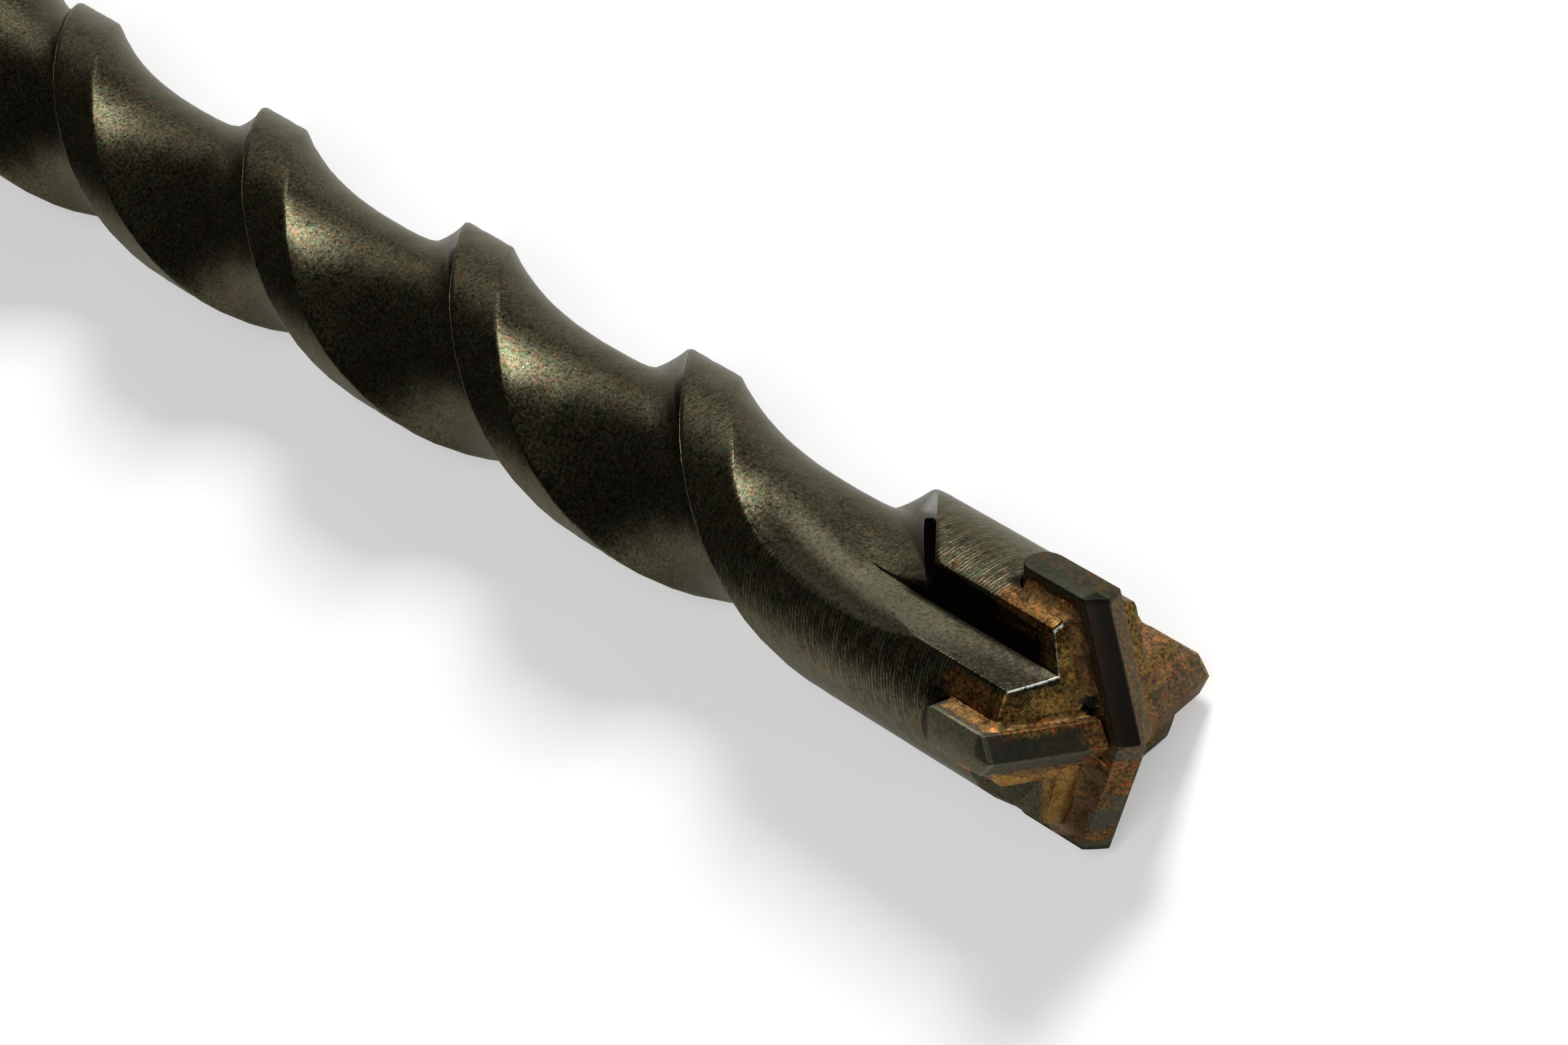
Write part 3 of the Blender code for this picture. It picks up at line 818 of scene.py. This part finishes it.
def leg_rows(sizes, offset, inner, form, scale):
    """Foot on the plate, toe on the steel and height of a fillet: up a side, over the front."""
    width, side_height, front_height = (size * scale for size in form)
    radius = sizes.steel_diameter / 2
    rim = radius - SHOULDER_BEVEL
    heel = PLATE_HEEL_DEPTH - PLATE_HEEL_RADIUS
    toe_offset = offset + width
    outwards = Vector((0, 1, 0)) * side_height
    ahead = Vector((1, RIDGE_FALL, 0)).normalized() * front_height

    def edge(across):
        return math.sqrt(radius ** 2 - across ** 2)

    def front(along, across):
        depth = SHOULDER_DEPTH - (rim - math.hypot(along, across)) * RIDGE_FALL
        return on_bit(depth, along, across)

    def side(depth, slip):
        return [on_bit(depth, edge(across) - slip / 2, across) for across in (offset, toe_offset)]

    rows = []
    side_steps = round((heel - SHOULDER_DEPTH) / BRAZE_STEP)
    for k in range(side_steps):
        depth = heel + (SHOULDER_DEPTH + SHOULDER_BEVEL - heel) * k / side_steps
        rows.append((*side(depth, 0), outwards))
    for share in (0.25, 0.5, 0.75):
        slip = SHOULDER_BEVEL * share
        depth = SHOULDER_DEPTH + SHOULDER_BEVEL - slip
        rows.append((*side(depth, slip), outwards.lerp(ahead, share)))
    start = edge(offset) - SHOULDER_BEVEL
    front_steps = round((start - inner) / BRAZE_STEP)
    for k in range(front_steps + 1):
        along = start + (inner - start) * k / front_steps
        reach = min(along, edge(toe_offset) - SHOULDER_BEVEL)
        toe = front(max(reach, inner + width), toe_offset)
        rows.append((front(along, offset), toe, ahead))
    return rows


def swap_arms(row):
    """The same row beside the next arm of the quarter."""
    return tuple(Vector((p.x, p.z - height, p.y + height)) for p, height in zip(
        row, (AXIS_HEIGHT, AXIS_HEIGHT, 0)))


def make_fillet(sizes, quarter):
    """Lumpy fillet that runs along both plates of one quarter."""
    near, far = MAIN_PLATE_THICKNESS / 2, SIDE_PLATE_THICKNESS / 2
    if quarter % 2:
        near, far = far, near
    forms = BRAZE_FORMS[quarter % 2]
    first = leg_rows(sizes, near, far, forms[0], sizes.braze_scale)
    second = leg_rows(sizes, far, near, forms[1], sizes.braze_scale)
    rows = first + [swap_arms(row) for row in second[::-1]]
    columns = len(BRAZE_SECTION)
    fillet = make_blank(columns, len(rows))
    place, ring, column = blank_rows(fillet, columns, len(rows))
    shift = Vector((quarter, 0, 0))
    for index, (row, corner) in enumerate(zip(ring, column)):
        foot, toe, up = rows[row]
        swell = 1 + BRAZE_SWELL * noise.noise(foot * 420 + shift)
        wide, high = BRAZE_SECTION[corner]
        point = foot + (toe - foot) * wide * swell + up * high * swell
        place[index] = point + noise.noise_vector(point * 1700 + shift) * BRAZE_LUMPS
    fillet.data.vertices.foreach_set("co", place.ravel())
    recalculate(fillet)
    return turn_about_axis(fillet, ARM_ANGLE + 90 * quarter)


class MakeBraze(bpy.types.Operator):
    """Run the braze fillets along the plates"""
    bl_idname = "drill_bit.braze"
    bl_label = "Braze"

    def execute(self, context):
        noise.seed_set(BRAZE_SEED)
        fillets = [make_fillet(context.scene.bit_sizes, quarter) for quarter in range(4)]
        clear_selection()
        for fillet in fillets:
            fillet.select_set(True)
        context.view_layer.objects.active = fillets[0]
        bpy.ops.object.join()
        finish_piece(context.object, "braze", "root", braze_material(context), 60)
        return {"FINISHED"}


# Materials


def colour(value, strength=1):
    return (*(channel * strength for channel in value), 1)


class Value:
    """A shader value that can stand in plain sums."""

    def __init__(self, nodes, socket):
        self.nodes = nodes
        self.socket = socket

    def math(self, operation, other=0.0):
        return self.nodes.add("ShaderNodeMath", {0: self, 1: other}, operation=operation)

    def __add__(self, other):
        return self.math("ADD", other)

    def __sub__(self, other):
        return self.math("SUBTRACT", other)

    def __rsub__(self, other):
        return self * -1 + other

    def __mul__(self, other):
        return self.math("MULTIPLY", other)

    def __abs__(self):
        return self.math("ABSOLUTE")

    __radd__ = __add__
    __rmul__ = __mul__

    def clamped(self):
        """Keep the result of a sum from 0 to 1."""
        self.socket.node.use_clamp = True
        return self

    def step(self, low, high):
        """0 at low, 1 at high, with soft ends. High may be under low."""
        return self.nodes.add(
            "ShaderNodeMapRange", {"Value": self, "From Min": low, "From Max": high},
            interpolation_type="SMOOTHSTEP", clamp=True)

    def band(self, start, low, high, end):
        """1 from low to high, 0 before start and past end."""
        return self.step(start, low) * self.step(end, high)

    def near(self, line, width):
        """1 on a line, 0 beyond a worn edge's width from it."""
        return abs(self - line).step(width, 0.3 * width)


def most(first, *others):
    """The highest of some values."""
    for other in others:
        first = first.math("MAXIMUM", other)
    return first


class Nodes:
    """Short ways to add and join shader nodes."""

    def __init__(self, name):
        self.material = bpy.data.materials.new(name)
        self.material.use_nodes = True
        self.tree = self.material.node_tree
        self.shader = self.tree.nodes["Principled BSDF"]

    def join(self, value, socket):
        if isinstance(value, Value):
            self.tree.links.new(value.socket, socket)
        else:
            socket.default_value = value

    def add(self, kind, inputs=(), output=0, **settings):
        """Add a node, and return one of its outputs."""
        node = self.tree.nodes.new(kind)
        for key, value in settings.items():
            setattr(node, key, value)
        for key, value in dict(inputs).items():
            self.join(value, node.inputs[key])
        return Value(self, node.outputs[output])

    def surface(self, values):
        """Give the shader its values, and return the material."""
        for key, value in values.items():
            self.join(value, self.shader.inputs[key])
        return self.material

    def vector(self, operation, place, by):
        return self.add("ShaderNodeVectorMath", {0: place, 1: by}, operation=operation)

    def mark(self, name):
        """A mark that was left on the mesh."""
        return self.add("ShaderNodeAttribute", output="Fac", attribute_name=name)

    def mix(self, share, a, b, blend="MIX"):
        return self.add(
            "ShaderNodeMix", {0: share, 6: a, 7: b}, 2, data_type="RGBA", blend_type=blend)

    def bump(self, height, distance, strength, under=None):
        inputs = {"Height": height, "Distance": distance, "Strength": strength}
        if under:
            inputs["Normal"] = under
        return self.add("ShaderNodeBump", inputs)


class BitNodes(Nodes):
    """Nodes with the place on the bit, in millimetres from the tip along the plates."""

    def __init__(self, name, speckle_scale=2.6):
        super().__init__(name)
        where = self.add("ShaderNodeTexCoord", output="Object")
        centred = self.vector("SUBTRACT", where, (TIP, 0, AXIS_HEIGHT))
        turned = self.add(
            "ShaderNodeVectorRotate", {"Vector": centred, "Angle": -math.radians(ARM_ANGLE)},
            rotation_type="X_AXIS")
        self.place = self.vector("MULTIPLY", turned, (1 / MM, 1 / MM, 1 / MM))
        split = self.add("ShaderNodeSeparateXYZ", {0: self.place}).socket.node
        x, self.along_main, self.along_side = (Value(self, part) for part in split.outputs)
        self.depth = x * -1
        self.beside = abs(self.along_main)
        self.aside = abs(self.along_side)
        self.ahead = self.along_main.math("SIGN") * self.along_side
        self.speckle = self.grain(speckle_scale, 4.0, 0.75)

    def moved(self, by):
        """The place in another part of the same noise."""
        return self.vector("ADD", self.place, (by, -by, 2 * by))

    def grain(self, scale, detail, roughness, where=None):
        return self.add("ShaderNodeTexNoise", {
            "Vector": where or self.place, "Scale": scale, "Detail": detail,
            "Roughness": roughness}, "Fac")


def rusty(nodes, base, share):
    """Turn a colour redder and greener in small patches."""
    red = nodes.grain(1.5, 3.0, 0.75, nodes.moved(31)).step(0.52, 0.66)
    green = nodes.grain(1.2, 3.0, 0.75, nodes.moved(57)).step(0.5, 0.64)
    base = nodes.mix(red * share, base, RED_TURN, "MULTIPLY")
    return nodes.mix(green * share, base, GREEN_TURN, "MULTIPLY")


def film_colour(nodes, finish):
    """Brown film of flux and braze with gold and copper specks."""
    fine = nodes.grain(2.6, 3.0, 0.8)
    patch = nodes.grain(0.55, 4.0, 0.65)
    hue = nodes.grain(1.2, 3.0, 0.75)
    speck = nodes.mix(hue.step(0.45, 0.60), colour(finish.copper), colour(finish.gold))
    brown = colour([channel * k for channel, k in zip(finish.copper, FILM_BROWN)])
    share = (4.2 * fine + 2.2 * patch - 2.75).clamped()
    return rusty(nodes, nodes.mix(share, brown, speck), 0.5)


def braze_hole_shade(nodes):
    """A painted dark spot for the shade of a hole in the braze, in the corner of two plates."""
    ragged = 3.2 * nodes.speckle
    for value, centre in zip((nodes.depth, nodes.along_main, nodes.along_side), HOLE_SHADE_PLACE):
        away = value - centre
        ragged += away * away
    return ragged.step(2.6, 2.1)


def channel_edge_highlights(nodes, radius):
    """The worn edges in front, where the chip channels meet the cone, with a painted highlight on
    them.
    """
    beside, ahead = nodes.beside, nodes.ahead
    draft = math.tan(math.radians(CHANNEL_DRAFT))
    side_edge = (draft * ahead + beside).near(SIDE_WALL + MAIN_WALL * draft, 0.2)
    side_edge *= ahead.step(MAIN_WALL - 0.2, MAIN_WALL)
    main_edge = (draft * beside + ahead).near(MAIN_WALL + SIDE_WALL * draft, 0.16)
    main_edge *= 0.35 * beside.step(SIDE_WALL - 0.2, SIDE_WALL)
    rim_edge = radius.near(RIM_RADIUS + 0.04, 0.16) * beside.step(8, 9)
    rim_edge *= ahead.band(3.0, 3.4, 4.5, 4.8)
    on_cone = nodes.depth.near(RIDGE_FALL * radius + FRONT_CONE, 0.2)
    return most(side_edge, main_edge, rim_edge) * on_cone * nodes.speckle.step(0.36, 0.52)


def heel_gap_shadow(nodes, outside):
    """Painted shadow in the gap round the plates' heels on the outside of the head."""
    past_side = most(nodes.beside - SIDE_HALF, nodes.depth - 16.4)
    past_main = most(nodes.aside - MAIN_HALF, nodes.depth - 15.4)
    near = past_side.math("MINIMUM", past_main).step(0.75, 0.3)
    return near * outside * nodes.depth.step(9, 12)


def turned_lines(nodes):
    """Fine broken lines round the bit."""
    wave = nodes.add("ShaderNodeTexWave", {
        "Vector": nodes.place, "Scale": LINE_SCALE, "Distortion": 2.2, "Detail": 2.0,
        "Detail Scale": 0.8}, "Fac", wave_type="BANDS", bands_direction="X", wave_profile="SIN")
    drawn_out = nodes.vector("MULTIPLY", nodes.place, (1.8, 0.5, 0.5))
    broken = nodes.grain(1.0, 2.0, 0.6, drawn_out).step(0.38, 0.62)
    return wave * broken * (1.6 * nodes.speckle + 0.2)


def forged_colour(nodes, finish, blotch, lines):
    """Dark and rubbed steel with bright lines, rust and glints."""
    cloud = nodes.grain(0.07, 2.0, 0.5)
    light = (3.0 * nodes.speckle + 0.6 * blotch + 0.4 * cloud - 1.55).clamped()
    base = nodes.mix(light, colour(finish.steel_dark), colour(finish.steel_light))
    base = nodes.mix((0.8 * lines).clamped(), base, colour(finish.steel_light, 1.8))
    glint = nodes.grain(6.5, 2.0, 0.5, nodes.moved(11)).step(0.66, 0.74)
    return nodes.mix(0.7 * glint, rusty(nodes, base, 0.85), colour(finish.steel_light, 5))


def wall_colour(nodes, finish, base, in_channel, pale):
    """Painted light at the back of the channels and on the flutes' front walls, darker in the
    channels' front.
    """
    # Painted light on the channels' back walls and the flutes' front walls
    lit = most(in_channel * nodes.depth.band(12, 21, 30, 36), pale)
    lit *= (2.2 * nodes.speckle - 0.55).clamped()
    base = nodes.mix(lit, base, colour(finish.steel_light, 1.05))
    dull = in_channel * nodes.depth.step(21, 11) * (1.45 - 1.5 * nodes.speckle).clamped()
    return nodes.mix(dull, base, colour(finish.steel_dark))


def steel_material(context):
    """Dull forged steel: turned lines on the lands, painted shade and painted light in the flutes
    and channels, copper by the plates.
    """
    finish = context.scene.bit_finish
    nodes = BitNodes("forged_steel")
    depth, speckle, beside, ahead = nodes.depth, nodes.speckle, nodes.beside, nodes.ahead
    main, side = nodes.along_main, nodes.along_side
    radius = (main * main + side * side).math("SQRT")
    outside = radius.step(RIM_RADIUS - 0.05, RIM_RADIUS + 0.2)
    blotch = nodes.grain(0.42, 4.0, 0.6)
    lines = turned_lines(nodes) * outside * (0.85 * depth.step(70, 26) + 0.15)
    in_channel = ahead.step(MAIN_WALL - 0.25, MAIN_WALL)
    in_channel *= beside.band(4.9, 5.1, SIDE_WALL + 0.05, SIDE_WALL + 0.2)
    # Painted light on the flutes' front walls
    pale = nodes.mark("pale")
    base = forged_colour(nodes, finish, blotch, lines)
    base = wall_colour(nodes, finish, base, in_channel, pale)

    near_side = beside.step(6.2, 3.8)
    face = depth.step(8.1, 6.9)
    wet = most(nodes.aside.step(5.8, 3.9), near_side) * depth.step(17.0, 13.5)
    wet = most(wet, 0.8 * face) - in_channel * depth.step(5, 8)
    ragged = (1.4 * blotch + wet).step(1.1, 1.5)
    film = nodes.mix(face, film_colour(nodes, finish), FRONT_TURN, "MULTIPLY")
    # Painted light on the film beside the side plates
    film = nodes.mix((near_side - face).clamped(), film, SIDE_PAINTED_LIGHT, "MULTIPLY")
    base = nodes.mix(0.92 * ragged, base, film)
    low = ahead.step(0.0, -0.5) * main.step(0.0, -0.5) * face * blotch.step(0.3, 0.55)
    base = nodes.mix(0.55 * low, base, nodes.mix(
        speckle.step(0.35, 0.65), colour(finish.copper), colour(finish.gold, 1.5)))

    # Painted shade in the channels' corners and by the flutes' back walls
    corner = ahead.band(3.9, 4.1, 4.9, 5.4) * beside.band(5.55, 5.7, 7.6, 8.6)
    corner *= depth.band(7.5, 9.0, 26, 29)
    painted_shade = most(corner, 0.95 * nodes.mark("wall")).clamped()
    base = nodes.mix(0.92 * painted_shade, base, colour(finish.steel_dark, 0.2))
    # Painted light patch at the top of the back wall
    patch = nodes.mark("patch") * main.step(5, 6)
    base = nodes.mix(patch * speckle.step(0.3, 0.5), base, PAINTED_LIGHT_PATCH)
    # Painted shadow in the slit behind the head, with less specular
    slit = nodes.mark("slit").step(0, 1)
    base = nodes.mix(0.95 * slit, base, SHADOW_BLACK)
    # Painted highlight on the worn edges at the channels' front
    edge_highlight = channel_edge_highlights(nodes, radius)
    base = nodes.mix(edge_highlight, base, EDGE_HIGHLIGHT)
    # Painted shadow in the gap round the plates' heels
    base = nodes.mix(0.85 * heel_gap_shadow(nodes, outside), base, SHADOW_BLACK)
    # Painted shade of the braze hole
    base = nodes.mix(braze_hole_shade(nodes), base, SHADOW_BLACK)

    # Less metal where shade, light and highlights are painted
    dull = most(0.35 * pale, 1.18 * slit, patch, edge_highlight)
    fine = nodes.bump(speckle, 0.00008, 0.35)
    return nodes.surface({
        "Base Color": base,
        "Metallic": (0.95 - 0.8 * dull).clamped(),
        "Specular IOR Level": 0.5 - 0.5 * slit,
        "Specular Tint": EDGE_TINT,
        "Roughness": (0.3 * speckle + 0.15).clamped(),
        "Normal": nodes.bump(lines * (1.0 - 0.8 * ragged), 0.00004, 0.5, fine),
    })


def carbide_material(context):
    """Ground carbide, with painted shade on the main plate's leading faces and ends and on the
    side plates' trailing faces and heels, and painted light on the side plates' ends.
    """
    finish = context.scene.bit_finish
    nodes = BitNodes("ground_carbide")
    depth, speckle, leading = nodes.depth, nodes.speckle, nodes.ahead
    main, side = nodes.along_main, nodes.along_side
    reach_main, reach_side = nodes.beside, nodes.aside
    blotch = nodes.grain(0.6, 3.0, 0.6)
    light = (2.4 * speckle + 0.6 * blotch - 1.0).clamped()
    base = nodes.mix(light, colour(finish.carbide, 0.5), colour(finish.carbide, 1.6))
    on_main = reach_side.step(MAIN_HALF + 0.15, MAIN_HALF + 0.05)
    trailing = side.math("SIGN") * main
    fall = depth - RIDGE_FALL * reach_main
    side_face = (depth - RIDGE_FALL * reach_side).step(3.2, 2.6)
    side_face *= reach_side.step(MAIN_HALF + 0.05, MAIN_HALF + 0.15)
    # Painted shade on the side plates' trailing faces
    trailing_shade = 0.8 * side_face * trailing.step(-0.35, -0.15)
    base = nodes.mix(trailing_shade, base, colour(finish.carbide, 0.3))

    # The film lies on the side plates' centre and rims, the lower left, the right and the ridge
    film = film_colour(nodes, finish)
    centre = (4.0 * blotch + reach_side).step(6.6, 5.2)
    rim = (1.3 * blotch + trailing).step(1.95, 2.35) * reach_side.step(11.2, 10.2)
    spots = nodes.grain(0.36, 4.0, 0.6, nodes.moved(23)).step(0.5, 0.58)
    ring = (3.0 * blotch + reach_main).step(7.4, 6.4)
    over = most(
        side_face * most(centre, rim),
        on_main * main.step(-1.0, -2.0) * most(ring, spots),
        side.step(-2.0, -2.4) * (0.35 * spots + 0.6),
        on_main * leading.step(0.3, 0.1) * main.step(-2.0, 0.5) * (1.4 * speckle - 0.25))
    base = nodes.mix((0.85 * over).clamped(), base, film)
    flank = on_main * fall.step(1.5, 2.0) * reach_main.step(12.1, 11.8) * depth.step(15.4, 14.2)
    browned = 0.6 * main.step(-1, 1) + 0.15
    base = nodes.mix(0.9 * flank, base, nodes.mix(browned, film, FLANK_BROWN))

    # Painted shade on the main plate's leading faces, with brown specks
    leading_shade = on_main * leading.step(0.2, 0.42) * fall.step(1.9, 1.2)
    rubbed = (1.6 * speckle + leading).step(1.8, 2.9)
    base = nodes.mix(0.97 * leading_shade, base, nodes.mix(rubbed, colour(finish.leading_shade_colour), FLANK_BROWN))
    stain = 0.3 * nodes.grain(0.9, 4.0, 0.7).step(0.6, 0.7) * (1.0 - leading_shade)
    base = nodes.mix(stain.clamped(), base, nodes.mix(
        speckle, FLANK_BROWN, colour(finish.copper)))
    # Painted shade on the main plate's ends and painted light on the side plates' ends
    base = nodes.mix(on_main * reach_main.step(11.9, 12.1), base, END_PAINTED_SHADE, "MULTIPLY")
    side_ends = reach_side.step(11.9, 12.1)
    base = nodes.mix(side_ends, base, END_PAINTED_LIGHT, "MULTIPLY")
    # Painted shadow on the side plates' ends by their heels
    heel = side_ends * (0.8 * blotch + depth).step(14.5, 15.1)
    base = nodes.mix(0.85 * heel, base, FLANK_BROWN)
    return nodes.surface({
        "Base Color": rusty(nodes, base, 0.6),
        "Metallic": 0.8,
        "Specular Tint": EDGE_TINT,
        "Roughness": 0.3 * speckle + 0.36,
        "Normal": nodes.bump(speckle, 0.00008, 0.3),
    })


def braze_material(context):
    """Lumpy copper braze with dark flux."""
    finish = context.scene.bit_finish
    nodes = BitNodes("copper_braze", 1.8)
    lumps = nodes.speckle
    bright = nodes.grain(0.8, 4.0, 0.7).step(0.42, 0.62)
    base = nodes.mix(0.5 * bright, film_colour(nodes, finish), colour(finish.gold))
    dark = nodes.along_side.step(4.6, 2.4) * nodes.beside.step(2.4, 3.2)
    dark *= nodes.depth.step(8.5, 7.0)
    base = nodes.mix(dark, base, nodes.mix(lumps, FLANK_BROWN, base))
    return nodes.surface({
        # Painted shade of the braze hole
        "Base Color": nodes.mix(braze_hole_shade(nodes), base, SHADOW_BLACK),
        "Metallic": 0.8,
        "Roughness": 0.35 * lumps + 0.3,
        "Normal": nodes.bump(lumps, 0.0001, 0.55),
    })


# Stage


def add_lamp(name, place, size, power):
    clear_selection()
    bpy.ops.object.light_add(type="AREA", location=place)
    lamp = bpy.context.object
    lamp.name = name
    lamp.data.shape = "SQUARE"
    lamp.data.size = size
    lamp.data.energy = power
    aim = Vector(LAMP_AIM) - Vector(place)
    lamp.rotation_euler = aim.to_track_quat("-Z", "Y").to_euler()


def add_floor(settings):
    """Wide floor of a light colour, whiter to the camera, with an even glow in the steel."""
    clear_selection()
    bpy.ops.mesh.primitive_plane_add(size=FLOOR_SIZE, location=(0, 0, 0))
    floor = baked("floor")
    nodes = Nodes("pale_floor")
    nodes.surface({
        "Base Color": colour(settings.floor), "Roughness": 1.0, "Specular IOR Level": 0.0})
    glossy, clear, camera = (nodes.add("ShaderNodeLightPath", output=ray) for ray in (
        "Is Glossy Ray", "Is Transmission Ray", "Is Camera Ray"))
    glow = nodes.add("ShaderNodeEmission", {
        "Strength": most(glossy, clear) * FLOOR_GLOW + camera * FLOOR_WHITE})
    lit = Value(nodes, nodes.shader.outputs[0])
    both = nodes.add("ShaderNodeAddShader", {0: lit, 1: glow})
    nodes.join(both, nodes.tree.nodes["Material Output"].inputs["Surface"])
    floor.data.materials.append(nodes.material)


def add_sky(settings):
    """Even grey light of the room."""
    world = bpy.data.worlds.new("room")
    world.use_nodes = True
    background = world.node_tree.nodes["Background"]
    background.inputs["Color"].default_value = (1, 1, 1, 1)
    background.inputs["Strength"].default_value = settings.sky
    bpy.context.scene.world = world


def add_camera():
    """The camera looks down at the tip and is rolled as the photo is."""
    clear_selection()
    bpy.ops.object.camera_add()
    camera = bpy.context.object
    camera.name = "camera"
    camera.rotation_mode = "QUATERNION"
    camera.location = CAMERA_PLACE
    camera.rotation_quaternion = CAMERA_TURN
    camera.data.sensor_fit = "HORIZONTAL"
    camera.data.sensor_width = 36
    camera.data.lens = CAMERA_LENS
    camera.data.clip_start = 0.01
    camera.data.clip_end = 20
    bpy.context.scene.camera = camera


class MakeStage(bpy.types.Operator):
    """Set up the floor, the lamps and the camera"""
    bl_idname = "drill_bit.stage"
    bl_label = "Stage"

    def execute(self, context):
        settings = context.scene.stage_settings
        add_floor(settings)
        add_sky(settings)
        for name, place, size, power in LAMPS:
            add_lamp(name, place, size, getattr(settings, power))
        add_camera()
        context.scene.view_settings.view_transform = "Standard"
        return {"FINISHED"}


class DrillBitPanel(bpy.types.Panel):
    """Buttons that build the bit and its stage"""
    bl_idname = "VIEW3D_PT_drill_bit"
    bl_label = "Drill Bit"
    bl_space_type = "VIEW_3D"
    bl_region_type = "UI"
    bl_category = "Drill Bit"

    def draw(self, context):
        layout = self.layout
        for group, owner in SETTING_GROUPS:
            box = layout.box()
            for name in owner.__annotations__:
                box.prop(getattr(context.scene, group), name)
        for operator in OPERATORS:
            layout.operator(operator.bl_idname)


SETTING_GROUPS = (
    ("bit_sizes", BitSizes), ("bit_finish", BitFinish), ("stage_settings", StageSettings))
OPERATORS = (MakeSteelBody, MakeCarbidePlates, MakeBraze, MakeStage)
CLASSES = (BitSizes, BitFinish, StageSettings, *OPERATORS, DrillBitPanel)


def register():
    for cls in CLASSES:
        bpy.utils.register_class(cls)
    for group, owner in SETTING_GROUPS:
        setattr(bpy.types.Scene, group, bpy.props.PointerProperty(type=owner))


def unregister():
    for group, _ in SETTING_GROUPS:
        delattr(bpy.types.Scene, group)
    for cls in reversed(CLASSES):
        bpy.utils.unregister_class(cls)


def write_sizes():
    """Bring the scene's placements up to date."""
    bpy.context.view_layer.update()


def main():
    register()
    bpy.ops.drill_bit.steel_body()
    bpy.ops.drill_bit.carbide_plates()
    bpy.ops.drill_bit.braze()
    bpy.ops.drill_bit.stage()
    write_sizes()


if __name__ == "__main__":
    main()
